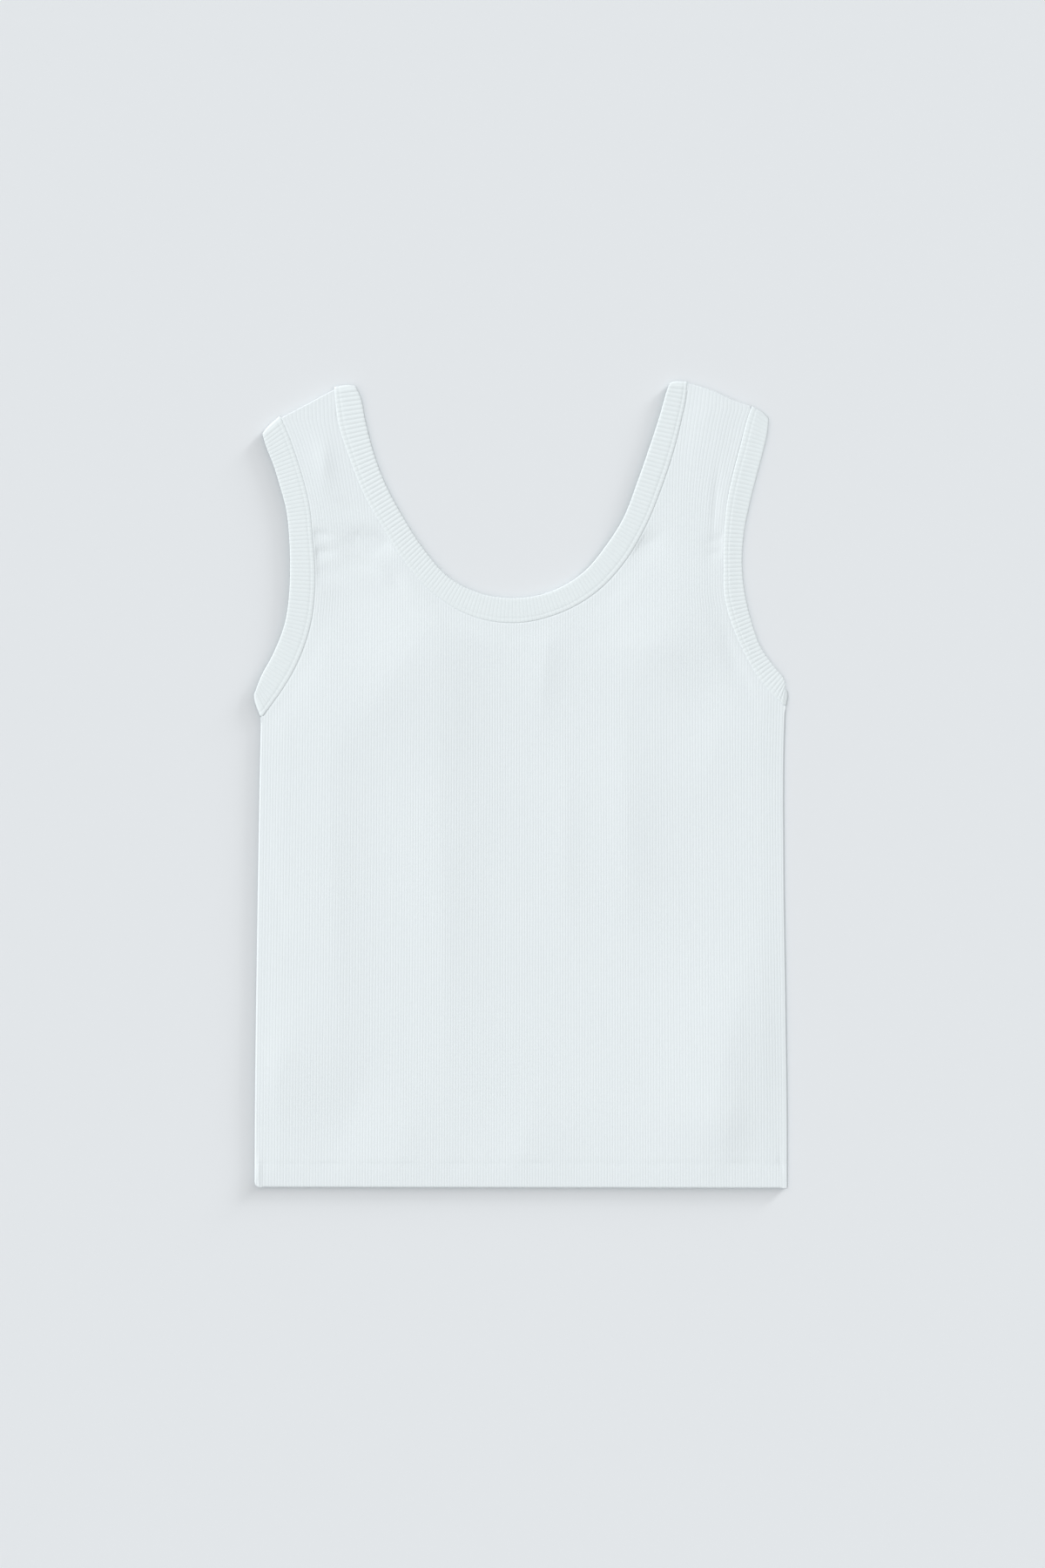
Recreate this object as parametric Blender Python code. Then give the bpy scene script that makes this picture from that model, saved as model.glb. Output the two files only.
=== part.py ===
"""Ribbed tank top laid flat on a surface, front up, as its sewn pieces.

Frame: metres, +X to the viewer's right, +Y from hem to shoulders, +Z up.
The back panel rests on z = 0 and the front panel lies on it. The neck band and
the two armhole bands are closed loops, folded flat at the shoulders and, for
the armholes, at the underarms. All tables below are in millimetres.
"""
import math

import bmesh
import bpy
import numpy as np
from mathutils import Vector
from mathutils.geometry import delaunay_2d_cdt

MM = 0.001

# ---- cloth ---------------------------------------------------------------
WALL = 1.2             # knit wall, measured in the groove between two ribs
RIB_RISE = 0.35        # height of a rib over its grooves
SEAM_GAP = 0.3         # space between two sewn pieces
HEM_DEPTH = 17.8       # height of the turned-up hem
HEM_RISE = 0.6         # extra thickness of the hem on each panel
HEM_RAMP = 1.2         # half the slope where the hem's raw edge ends inside
EDGE_ROUND = 2.2       # width over which a folded edge rounds away
EDGE_RIM = 0.4         # thickness left at the tip of a folded edge

# ---- layers above the floor ----------------------------------------------
BAND_WALL = 2.0                                # folded binding round a raw edge
BAND_MIDDLE = BAND_WALL + SEAM_GAP / 2         # height of the plane between halves
FRONT_BASE = WALL + SEAM_GAP                   # inner side of the front panel
BAND_LIFT = 0.9                                # panel's rise beside a band
LIFT_REACH = 22.0                              # how far from a band it rises
FOLD_REACH = 9.0                               # how near a folded edge it is down

# ---- ribs ----------------------------------------------------------------
BODY_RIBS = 188
NECK_RIBS = 145
LEFT_ARM_RIBS = 72
RIGHT_ARM_RIBS = 71
NECK_RIB_SQUEEZE = 0.1                         # share by which ribs close up at centre front
BAND_EDGE_RISE = 0.12                          # scallop of the ribs on a band's open edge

# ---- panel outline -------------------------------------------------------
UNDERARM_Y = 50.0
HEM_LEFT_Y, HEM_RIGHT_Y = -295.5, -296.2
HEM_TOP_Y = HEM_LEFT_Y + HEM_DEPTH
LEFT_CORNER, RIGHT_CORNER = 4.5, 1.5           # rounding of the hem's corners

# x, y down each side, from the underarm to where the hem's corner starts
LEFT_SIDE = ((-190.6, 49.5), (-191.6, 0.0), (-193.4, -110.0), (-195.0, -240.0),
             (-195.2, HEM_LEFT_Y + LEFT_CORNER))
RIGHT_SIDE = ((195.2, 57.5), (194.3, 30.0), (194.2, -60.0), (195.6, -160.0),
              (196.6, -250.0), (196.6, HEM_RIGHT_Y + RIGHT_CORNER))
# heights of the outline's points down each side
SIDE_STOPS = (0.0, -95.0, -190.0, HEM_TOP_Y + HEM_RAMP, HEM_TOP_Y - HEM_RAMP)

# x, y along each shoulder edge of the panel, left to right
LEFT_SHOULDER = ((-175.5, 270.6), (-158.4, 279.0), (-136.8, 287.2))
RIGHT_SHOULDER = ((123.6, 291.0), (132.0, 292.4), (145.0, 288.0), (157.0, 281.8),
                  (169.0, 277.4))

# ---- bands: each row is one cross-section --------------------------------
# seam x, seam y, open edge x, open edge y; first and last rows are fold lines
NECK_BAND = (
    (-135.5, 289.3, -120.5, 291.9),
    (-136.2, 284.5, -118.0, 287.0),
    (-133.4, 264.0, -113.5, 267.5),
    (-126.2, 241.5, -108.5, 247.5),
    (-115.0, 213.5, -99.5, 222.5),
    (-99.8, 186.5, -85.5, 196.0),
    (-83.5, 161.5, -71.0, 173.5),
    (-62.5, 139.0, -52.5, 152.5),
    (-34.0, 123.0, -28.7, 140.3),
    (-4.0, 118.5, -4.0, 137.0),
    (27.0, 125.0, 21.5, 141.5),
    (55.0, 140.5, 45.5, 155.3),
    (78.0, 165.0, 63.6, 176.5),
    (91.0, 187.0, 75.0, 194.5),
    (104.0, 218.0, 86.4, 223.5),
    (112.0, 242.0, 94.4, 246.5),
    (119.0, 269.5, 102.8, 272.5),
    (122.3, 287.0, 107.7, 289.5),
    (122.7, 293.5, 109.3, 293.9),
)
LEFT_ARM_BAND = (
    (-175.1, 268.9, -189.1, 256.4),
    (-170.5, 258.5, -186.5, 248.0),
    (-164.0, 240.5, -181.0, 234.0),
    (-159.5, 226.0, -177.0, 221.0),
    (-154.5, 205.5, -172.0, 202.5),
    (-152.0, 180.0, -169.5, 179.0),
    (-150.3, 157.5, -169.0, 158.0),
    (-150.5, 141.5, -169.5, 143.0),
    (-154.0, 116.0, -172.5, 120.0),
    (-163.5, 89.0, -180.5, 98.0),
    (-176.0, 67.5, -190.5, 79.0),
    (-188.5, 50.7, -194.8, 67.7),
)
RIGHT_ARM_BAND = (
    (168.9, 276.0, 182.4, 267.7),
    (166.0, 267.5, 181.8, 260.0),
    (161.5, 250.0, 178.8, 246.0),
    (156.5, 231.0, 173.8, 227.0),
    (152.0, 210.5, 168.8, 207.0),
    (149.5, 186.0, 164.5, 185.0),
    (149.0, 160.5, 163.0, 161.0),
    (150.0, 136.0, 165.5, 138.0),
    (155.0, 118.5, 168.8, 124.0),
    (165.0, 95.5, 176.8, 101.0),
    (175.5, 77.5, 186.8, 86.5),
    (186.0, 65.5, 194.0, 77.0),
    (193.3, 58.3, 194.8, 70.0),
)

# shares of a band's length between which the front panel meets it
NECK_SEAM_SHARES = (0.02, 0.985)
ARM_SEAM_SHARES = (0.012, 1.0)

# ---- one cross-section of a band -----------------------------------------
BAND_TIP = 0.97        # share across where the flat inner side ends
BAND_CREST = 0.95      # share across where the outer side starts to round off
BAND_ROOT = 0.03       # share across where the outer side starts at the seam
BAND_TIP_HEIGHT = 0.55 # height of the open edge as a share of half the band
BAND_ROOT_DROP = 0.15  # how much lower the outer side is at the seam
BAND_WIDTH = 18.0      # usual width of a band

# ---- how the ribs run ----------------------------------------------------
# rib number from the left side, its x at the underarm and at the hem
RIB_TRACKS = (
    (0.0, -190.7, -195.2),
    (17.5, -154.0, -157.6),
    (32.0, -123.4, -126.3),
    (47.0, -91.8, -94.0),
    (94.0, 1.7, 1.5),
    (141.0, 95.2, 96.4),
    (151.0, 116.3, 117.9),
    (168.0, 152.0, 154.0),
    (188.0, 194.2, 196.7),
)
LEFT_ARM_TRACK, LEFT_NECK_TRACK = 1, 2
RIGHT_NECK_TRACK, RIGHT_ARM_TRACK = 6, 7
# heights from which the outermost strap ribs follow the armhole seams
LEFT_FOLLOW_Y, RIGHT_FOLLOW_Y = 116.0, 127.0
# y, sideways lean of the strap ribs that end beside the neck band
LEFT_NECK_LEAN = ((190.0, 0.0), (211.0, -2.4), (240.0, -7.2), (264.0, -11.6), (290.0, -13.6))
RIGHT_NECK_LEAN = ((215.0, 0.0), (242.0, 0.9), (269.0, 3.9), (292.0, 7.3))

# ---- soft folds of the front: x, y, half length, half width, turn, rise --
FRONT_FOLDS = (
    (-152.0, 237.0, 18.0, 10.0, 70.0, 0.50),
    (-144.0, 185.5, 10.0, 3.5, 5.0, -0.45),
    (-141.0, 171.5, 14.0, 3.5, 8.0, -0.40),
    (-107.0, 186.0, 8.0, 5.0, 150.0, -0.35),
    (-125.0, 154.0, 28.0, 6.0, 152.0, -0.30),
    (-110.0, 116.0, 24.0, 12.0, 60.0, 0.40),
    (97.0, 183.0, 9.0, 5.0, 60.0, -0.30),
    (143.0, 196.0, 22.0, 2.5, 86.0, -0.35),
    (153.0, 103.0, 18.0, 4.0, 110.0, -0.35),
    (164.0, 79.0, 15.0, 3.5, 115.0, -0.35),
    (166.0, -246.0, 15.0, 8.0, 95.0, -0.40),
    (-50.0, 26.0, 110.0, 12.0, 90.0, -0.30),
    (-130.0, -100.0, 150.0, 9.0, 90.0, -0.25),
)
FOLD_ROOM = 0.3        # height kept under the front panel for its troughs

# ---- fineness ------------------------------------------------------------
BORDER_STEP = 5.5      # spacing of outline points on the seams
BODY_ROWS = (-180.0, -60.0, 60.0)
STRAP_ROWS = (116.0, 130.0, 146.0, 162.0, 178.0, 194.0, 210.0, 226.0, 242.0, 258.0, 274.0)
RIB_END_GAP = 0.45     # ribs die away this far before the outline
ROW_CLEAR_LOW = 2.0    # a row crosses a rib only this far above the rib's lower end
ROW_CLEAR_HIGH = 4.0   # and this far below its upper end
TRACK_STEP = 0.5       # step used to find where a rib meets the outline
SWEEP_LOW, SWEEP_HIGH = -297.2, 296.0
BACK_STATION_STEP = 9.0
FOLD_STATIONS = 3
CURVE_SAMPLES = 200    # points read along a curve to measure or follow it
CORNER_POINTS = 4
HEM_POINTS = 14
FRONT_INNER_SPACING = 32.0
BACK_SPACING = 60.0
SPREAD_MARGIN = 10.0   # spread points stay this far inside the outline
HEM_STEP_POINTS = 9
HEM_STEP_INSET = 1.0   # the hem's step stops this far inside the side edges
BACK_CENTRE = (0.0, -60.0)
SHARP_ANGLE = math.radians(35)

# ---- colours, linear -----------------------------------------------------
BODY_COLOUR = (0.80, 0.83, 0.85)
BAND_COLOUR = (0.77, 0.81, 0.82)
KNIT_ROUGHNESS = 0.92


def smooth_curve(rows, shares):
    """Read a table's smooth curve at shares (0 to 1) of its length."""
    rows = np.array(rows, float)
    shares = np.atleast_1d(np.asarray(shares, float))
    steps = np.linalg.norm(np.diff(rows, axis=0), axis=1)
    knots = np.concatenate(([0.0], np.cumsum(steps))) / steps.sum()
    spans = np.diff(knots)[:, None]
    slopes = np.diff(rows, axis=0) / spans
    inner = (slopes[:-1] * spans[1:] + slopes[1:] * spans[:-1]) / (spans[1:] + spans[:-1])
    tangents = np.vstack((slopes[:1], inner, slopes[-1:]))
    index = np.clip(np.searchsorted(knots, shares, side="right") - 1, 0, len(spans) - 1)
    span = spans[index]
    t = ((shares - knots[index])[:, None]) / span
    start, end = rows[index], rows[index + 1]
    pull_start, pull_end = tangents[index] * span, tangents[index + 1] * span
    return (start * (2 * t**3 - 3 * t**2 + 1) + pull_start * (t**3 - 2 * t**2 + t)
            + end * (3 * t**2 - 2 * t**3) + pull_end * (t**3 - t**2))


def line_length(points):
    """Length of a line of x, y points."""
    return float(np.linalg.norm(np.diff(points, axis=0), axis=1).sum())


def seam_line(band, side, shares):
    """Panel's edge beside a band: the band's seam, moved a seam gap to one side."""
    seam = [row[:2] for row in band]
    length = line_length(smooth_curve(seam, np.linspace(*shares, CURVE_SAMPLES)))
    count = int(round(length / BORDER_STEP))
    points = smooth_curve(seam, np.linspace(*shares, count + 1))
    along = np.gradient(points, axis=0)
    along /= np.linalg.norm(along, axis=1)[:, None]
    across = np.column_stack((-along[:, 1], along[:, 0]))
    return points + side * SEAM_GAP * across


def hem_corner(x_side, y_hem, radius, turn):
    """Quarter circle from a side edge to the hem; turn is +1 at the left corner."""
    angles = np.linspace(0.0, math.pi / 2, CORNER_POINTS)
    x = x_side + turn * radius * (1 - np.cos(angles))
    y = y_hem + radius * (1 - np.sin(angles))
    return np.column_stack((x, y))


def side_line(rows):
    """Points down one side of a panel, at the underarm and at each side stop."""
    curve = smooth_curve(rows, np.linspace(1, 0, CURVE_SAMPLES))
    heights = np.array((rows[0][1],) + SIDE_STOPS)
    return np.column_stack((np.interp(heights, curve[:, 1], curve[:, 0]), heights))


def panel_outline():
    """Closed outline of a panel, clockwise from the left underarm, with edge kinds."""
    left_corner = hem_corner(LEFT_SIDE[-1][0], HEM_LEFT_Y, LEFT_CORNER, 1)
    right_corner = hem_corner(RIGHT_SIDE[-1][0], HEM_RIGHT_Y, RIGHT_CORNER, -1)
    hem_x = np.linspace(right_corner[-1][0], left_corner[-1][0], HEM_POINTS)[1:-1]
    hem_y = np.interp(hem_x, (left_corner[-1][0], right_corner[-1][0]), (HEM_LEFT_Y, HEM_RIGHT_Y))
    runs = (
        ("seam", seam_line(LEFT_ARM_BAND, 1, ARM_SEAM_SHARES)[::-1]),
        ("fold", np.array(LEFT_SHOULDER)),
        ("seam", seam_line(NECK_BAND, -1, NECK_SEAM_SHARES)),
        ("fold", np.array(RIGHT_SHOULDER)),
        ("seam", seam_line(RIGHT_ARM_BAND, -1, ARM_SEAM_SHARES)),
        ("fold", side_line(RIGHT_SIDE)),
        ("hem", right_corner),
        ("hem", np.column_stack((hem_x, hem_y))),
        ("hem", left_corner[::-1]),
        ("fold", side_line(LEFT_SIDE)[::-1]),
    )
    kinds = [kind for kind, run in runs for _ in run]
    return np.vstack([run for _, run in runs]), kinds


def distance_to(points, line):
    """Distance of each point from an open line."""
    points = np.asarray(points, float)[:, None, :]
    starts, ends = line[:-1][None], line[1:][None]
    runs = ends - starts
    share = ((points - starts) * runs).sum(2) / np.maximum((runs**2).sum(2), 1e-9)
    nearest = starts + runs * np.clip(share, 0, 1)[:, :, None]
    return np.linalg.norm(points - nearest, axis=2).min(1)


def is_inside(points, outline):
    """True for each point that lies inside the closed outline."""
    x, y = np.asarray(points, float).T[:, :, None]
    x0, y0 = outline.T[:, None, :]
    x1, y1 = np.roll(outline, -1, axis=0).T[:, None, :]
    crosses = (y0 > y) != (y1 > y)
    rise = np.where(y1 == y0, 1.0, y1 - y0)
    left_of = x < (x1 - x0) * (y - y0) / rise + x0
    return (crosses & left_of).sum(1) % 2 == 1


def ease(value):
    """Smooth step from 0 to 1."""
    value = np.clip(value, 0.0, 1.0)
    return value * value * (3 - 2 * value)


class Panel:
    """Plan and heights shared by the front and the back."""

    def __init__(self):
        self.outline, self.kinds = panel_outline()
        closed = np.vstack((self.outline, self.outline[:1]))
        kinds = self.kinds + self.kinds[:1]
        self.folds = self.runs_of(closed, kinds, ("fold", "hem"))
        self.seams = self.runs_of(closed, kinds, ("seam",))
        arm_shares = np.linspace(0, 1, CURVE_SAMPLES)
        self.left_arm = smooth_curve([row[:2] for row in LEFT_ARM_BAND], arm_shares)[::-1]
        self.right_arm = smooth_curve([row[:2] for row in RIGHT_ARM_BAND], arm_shares)[::-1]

    @staticmethod
    def runs_of(points, kinds, wanted):
        """Lines made of the neighbouring points whose kind is wanted."""
        lines, line = [], []
        for point, kind in zip(points, kinds):
            if kind in wanted:
                line.append(point)
            elif line:
                lines.append(np.array(line))
                line = []
        if line:
            lines.append(np.array(line))
        return [run for run in lines if len(run) > 1]

    @staticmethod
    def nearest(points, lines):
        """Distance of each point from the nearest of several lines."""
        return np.min([distance_to(points, line) for line in lines], axis=0)

    def rib_path(self, rib, heights):
        """Points of one rib at the given heights."""
        y = np.asarray(heights, float)
        numbers, at_underarm, at_hem = np.array(RIB_TRACKS).T
        down = np.clip((UNDERARM_Y - y) / (UNDERARM_Y - HEM_LEFT_Y), 0, 1)[:, None]
        tracks = at_underarm + (at_hem - at_underarm) * down
        for track, seam, start in ((LEFT_ARM_TRACK, self.left_arm, LEFT_FOLLOW_Y),
                                   (RIGHT_ARM_TRACK, self.right_arm, RIGHT_FOLLOW_Y)):
            follow = np.interp(y, seam[:, 1], seam[:, 0])
            tracks[:, track] = np.where(y > start, follow, tracks[:, track])
        tracks[:, LEFT_NECK_TRACK] += np.interp(y, *zip(*LEFT_NECK_LEAN))
        tracks[:, RIGHT_NECK_TRACK] += np.interp(y, *zip(*RIGHT_NECK_LEAN))
        before = min(int(np.searchsorted(numbers, rib, side="right")) - 1, len(numbers) - 2)
        share = (rib - numbers[before]) / (numbers[before + 1] - numbers[before])
        return np.column_stack((tracks[:, before] * (1 - share) + tracks[:, before + 1] * share, y))

    def inner_height(self, points):
        """Inner side of the front panel above the floor."""
        points = np.asarray(points, float)
        to_fold = self.nearest(points, self.folds)
        to_seam = self.nearest(points, self.seams)
        settled = ease(to_fold / FOLD_REACH)
        height = FRONT_BASE + BAND_LIFT * ease(1 - to_seam / LIFT_REACH) * settled
        height += (FOLD_ROOM + front_relief(points)) * settled * ease(to_seam / FOLD_REACH)
        return height + hem_rise(points)

    def round_off(self, points):
        """Share of the full thickness left near a folded edge."""
        near = np.clip(self.nearest(points, self.folds) / EDGE_ROUND, 0, 1)
        rim = EDGE_RIM / WALL
        return rim + (1 - rim) * np.sqrt(1 - (1 - near) ** 2)


def front_relief(points):
    """Sum of the soft folds at each point."""
    relief = np.zeros(len(points))
    for x, y, half_length, half_width, turn, rise in FRONT_FOLDS:
        angle = math.radians(turn)
        dx, dy = points[:, 0] - x, points[:, 1] - y
        along = dx * math.cos(angle) + dy * math.sin(angle)
        across = dy * math.cos(angle) - dx * math.sin(angle)
        relief += rise * np.exp(-(along / half_length) ** 2 - (across / half_width) ** 2)
    return relief


def hem_rise(points):
    """Extra thickness of the turned-up hem."""
    height = np.asarray(points, float)[:, 1]
    return HEM_RISE * ease((HEM_TOP_Y + HEM_RAMP - height) / (2 * HEM_RAMP))


def rib_lines(panel):
    """Crest and groove lines of the front: points, crest flags, and edges."""
    points, crests, edges = [], [], []
    rows = np.array((HEM_TOP_Y - HEM_RAMP, HEM_TOP_Y + HEM_RAMP) + BODY_ROWS + STRAP_ROWS)
    sweep = np.arange(SWEEP_LOW, SWEEP_HIGH, TRACK_STEP)
    loop = np.vstack((panel.outline, panel.outline[:1]))
    for line in range(1, 2 * BODY_RIBS):
        rib = line / 2
        track = panel.rib_path(rib, sweep)
        clear = is_inside(track, panel.outline) & (distance_to(track, loop) > RIB_END_GAP)
        first = int(np.argmax(clear))
        beyond = np.nonzero(~clear[first:])[0]
        last = first + (int(beyond[0]) if len(beyond) else len(clear) - first) - 1
        low, high = sweep[first], sweep[last]
        crossed = rows[(rows > low + ROW_CLEAR_LOW) & (rows < high - ROW_CLEAR_HIGH)]
        heights = [low, *crossed, high]
        start = len(points)
        points += list(panel.rib_path(rib, heights))
        crests += [line % 2 == 1] * len(heights)
        edges += [(n, n + 1) for n in range(start, len(points) - 1)]
    return np.array(points), np.array(crests), edges


def fill_plan(outline, points, edges):
    """Triangles over the outline that keep the given points and edges."""
    count = len(outline)
    border = [(n, (n + 1) % count) for n in range(count)]
    inner = [(a + count, b + count) for a, b in edges]
    plan = [Vector(point) for point in np.vstack((outline, points))]
    verts, _, faces, origins, _, _ = delaunay_2d_cdt(plan, border + inner, [], 1, 1e-5)
    order = [origin[0] for origin in origins]
    return [[order[n] for n in face] for face in faces]


def cloth_wall(name, outline, top, bottom, material):
    """Closed wall between two skins over one outline.

    top and bottom are (inner points, edges, border heights, inner heights).
    """
    mesh_maker = bmesh.new()
    borders = []
    for skin, upward in ((top, True), (bottom, False)):
        points, edges, border_z, inner_z = skin
        plan = np.vstack((outline, points)) if len(points) else outline
        heights = np.concatenate((border_z, inner_z)) if len(points) else border_z
        corners = [mesh_maker.verts.new((x * MM, y * MM, z * MM))
                   for (x, y), z in zip(plan, heights)]
        for face in fill_plan(outline, np.reshape(points, (-1, 2)), edges):
            ring = [corners[n] for n in face]
            mesh_maker.faces.new(ring if upward else ring[::-1])
        borders.append(corners[:len(outline)])
    over, under = borders
    for n in range(len(outline)):
        after = (n + 1) % len(outline)
        mesh_maker.faces.new((over[n], over[after], under[after], under[n]))
    bmesh.ops.recalc_face_normals(mesh_maker, faces=mesh_maker.faces)
    return finish(mesh_maker, name, material)


def finish(mesh_maker, name, material):
    """Turn a bmesh into a named object with its material."""
    bmesh.ops.triangulate(mesh_maker, faces=mesh_maker.faces)
    mesh = bpy.data.meshes.new(name)
    mesh_maker.to_mesh(mesh)
    mesh_maker.free()
    mesh.materials.append(material)
    mesh.shade_smooth()
    mesh.set_sharp_from_angle(angle=SHARP_ANGLE)
    piece = bpy.data.objects.new(name, mesh)
    bpy.context.collection.objects.link(piece)
    return piece


def spread_points(outline, spacing):
    """Even points inside an outline, kept clear of it and of the hem's step."""
    low, high = outline.min(0), outline.max(0)
    x = np.arange(low[0] + spacing / 2, high[0], spacing)
    y = np.arange(low[1] + spacing / 2, high[1], spacing)
    points = np.array([(a, b) for b in y for a in x])
    loop = np.vstack((outline, outline[:1]))
    keep = is_inside(points, outline) & (distance_to(points, loop) > SPREAD_MARGIN)
    keep &= np.abs(points[:, 1] - HEM_TOP_Y) > SPREAD_MARGIN
    return points[keep]


def hem_step():
    """Two rows of points, and their edges, where the hem's inner edge makes a step."""
    x = np.linspace(LEFT_SIDE[-1][0] + HEM_STEP_INSET, RIGHT_SIDE[-1][0] - HEM_STEP_INSET,
                    HEM_STEP_POINTS)
    points = np.array([(a, HEM_TOP_Y + step) for step in (-HEM_RAMP, HEM_RAMP) for a in x])
    edges = [(n, n + 1) for n in range(len(points) - 1) if n != HEM_STEP_POINTS - 1]
    return points, edges


def front_panel(panel, material):
    """Upper panel: ribs over a smooth inner side."""
    ribs, crests, edges = rib_lines(panel)
    thick = WALL + RIB_RISE * crests
    top_inner = panel.inner_height(ribs) + (thick + hem_rise(ribs)) * panel.round_off(ribs)
    border = panel.outline
    low = panel.inner_height(border)
    seam_wall = WALL + RIB_RISE / 2
    wall = np.where([kind == "seam" for kind in panel.kinds], seam_wall, EDGE_RIM)
    step, step_edges = hem_step()
    inside = np.vstack((step, spread_points(border, FRONT_INNER_SPACING)))
    return cloth_wall("front_panel", border, (ribs, edges, low + wall, top_inner),
                      (inside, step_edges, low, panel.inner_height(inside)), material)


def back_panel(panel, material):
    """Lower panel: flat underside, thicker at the hem."""
    border = panel.outline
    step, step_edges = hem_step()
    inside = np.vstack((step, spread_points(border, BACK_SPACING)))
    high = WALL + hem_rise(border)
    wall = np.where([kind == "seam" for kind in panel.kinds], high, EDGE_RIM)
    inset = flat_inset(panel)
    return cloth_wall("back_panel", border, (inside, step_edges, high, WALL + hem_rise(inside)),
                      (inset, [], high - wall, np.zeros(len(inset))), material)


def flat_inset(panel):
    """Points where the underside reaches the floor, just inside a folded edge."""
    folded = [kind != "seam" for kind in panel.kinds]
    edge = panel.outline[folded]
    ahead = np.roll(panel.outline, -1, axis=0)[folded]
    behind = np.roll(panel.outline, 1, axis=0)[folded]
    along = ahead - behind
    along /= np.linalg.norm(along, axis=1)[:, None]
    inward = np.column_stack((along[:, 1], -along[:, 0]))
    points = edge + EDGE_ROUND * inward
    loop = np.vstack((panel.outline, panel.outline[:1]))
    clear = is_inside(points, panel.outline) & (distance_to(points, loop) > EDGE_ROUND / 2)
    return np.vstack((points[clear], BACK_CENTRE))


def band_section(crest, on_back):
    """Across share and height over the middle plane, round one cross-section."""
    rise = RIB_RISE if crest else 0.0
    scallop = BAND_EDGE_RISE / BAND_WIDTH if crest else 0.0
    outer = BAND_MIDDLE + (0.0 if on_back else rise)
    root = outer - (0.0 if on_back else BAND_ROOT_DROP)
    return (
        (0.0, SEAM_GAP / 2),
        (BAND_TIP, SEAM_GAP / 2),
        (1.0 + scallop, BAND_MIDDLE * BAND_TIP_HEIGHT),
        (BAND_CREST, outer),
        (BAND_ROOT, root),
    )


def band_stations(rows, ribs, squeeze):
    """Rings along a closed band: share along it, crest flag, and fold angle."""
    count = 2 * ribs
    even = np.linspace(0.0, 1.0, count + 1)
    shares = even + squeeze / (2 * math.pi) * np.sin(2 * math.pi * even)
    front = [(share, n % 2 == 1, 0.0) for n, share in enumerate(shares)]
    length = line_length(smooth_curve(rows, np.linspace(0, 1, CURVE_SAMPLES))[:, :2])
    back_count = int(round(length / BACK_STATION_STEP))
    back = [(share, False, math.pi) for share in np.linspace(1.0, 0.0, back_count + 1)]
    turns = [math.pi * (n + 1) / (FOLD_STATIONS + 1) for n in range(FOLD_STATIONS)]
    far_fold = [(1.0, False, turn) for turn in turns]
    near_fold = [(0.0, False, turn) for turn in turns[::-1]]
    return front + far_fold + back + near_fold


def fold_direction(row, neighbour):
    """Outward direction across a fold line, level with the floor."""
    seam, edge = np.array(row[:2]), np.array(row[2:])
    across = edge - seam
    outward = np.array((-across[1], across[0])) / np.linalg.norm(across)
    inward = (np.array(neighbour[:2]) + np.array(neighbour[2:])) / 2 - (seam + edge) / 2
    return -outward if np.dot(outward, inward) > 0 else outward


def band(name, rows, ribs, squeeze, material):
    """Ribbed loop: front half on top, back half under it, joined by two folds."""
    mesh_maker = bmesh.new()
    start_out = fold_direction(rows[0], rows[1])
    end_out = fold_direction(rows[-1], rows[-2])
    rings = []
    for share, crest, turn in band_stations(rows, ribs, squeeze):
        section = smooth_curve(rows, share)[0]
        seam, edge = section[:2], section[2:]
        outward = start_out if share < 0.5 else end_out
        ring = []
        for across, over in band_section(crest, turn > math.pi / 2):
            plan = seam + (edge - seam) * across + outward * over * math.sin(turn)
            height = BAND_MIDDLE + over * math.cos(turn)
            ring.append(mesh_maker.verts.new((plan[0] * MM, plan[1] * MM, max(height, 0.0) * MM)))
        rings.append(ring)
    sides = len(rings[0])
    for ring, following in zip(rings, rings[1:] + rings[:1]):
        for n in range(sides):
            after = (n + 1) % sides
            mesh_maker.faces.new((ring[n], ring[after], following[after], following[n]))
    bmesh.ops.recalc_face_normals(mesh_maker, faces=mesh_maker.faces)
    return finish(mesh_maker, name, material)


def knit(name, colour):
    """Matt white cotton rib knit."""
    material = bpy.data.materials.new(name)
    material.use_nodes = True
    shader = material.node_tree.nodes["Principled BSDF"]
    shader.inputs["Base Color"].default_value = (*colour, 1.0)
    shader.inputs["Roughness"].default_value = KNIT_ROUGHNESS
    shader.inputs["Metallic"].default_value = 0.0
    return material


def main():
    """Make the two panels and the three bands."""
    for item in list(bpy.data.objects):
        bpy.data.objects.remove(item, do_unlink=True)
    body_knit = knit("body_knit", BODY_COLOUR)
    band_knit = knit("band_knit", BAND_COLOUR)
    panel = Panel()
    back_panel(panel, body_knit)
    front_panel(panel, body_knit)
    band("neck_binding", NECK_BAND, NECK_RIBS, NECK_RIB_SQUEEZE, band_knit)
    band("armhole_binding_left", LEFT_ARM_BAND, LEFT_ARM_RIBS, 0.0, band_knit)
    band("armhole_binding_right", RIGHT_ARM_BAND, RIGHT_ARM_RIBS, 0.0, band_knit)


main()
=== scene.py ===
"""White ribbed tank top laid flat, front up: its cloth, bindings and sewing.

Frame: metres, +X to the right, +Y from hem to shoulders, +Z up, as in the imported
model. Tables and heights are in millimetres and are turned to metres with MM.
"""
import math

import bmesh
import bpy
import numpy as np
from mathutils import Matrix, Vector


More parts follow.
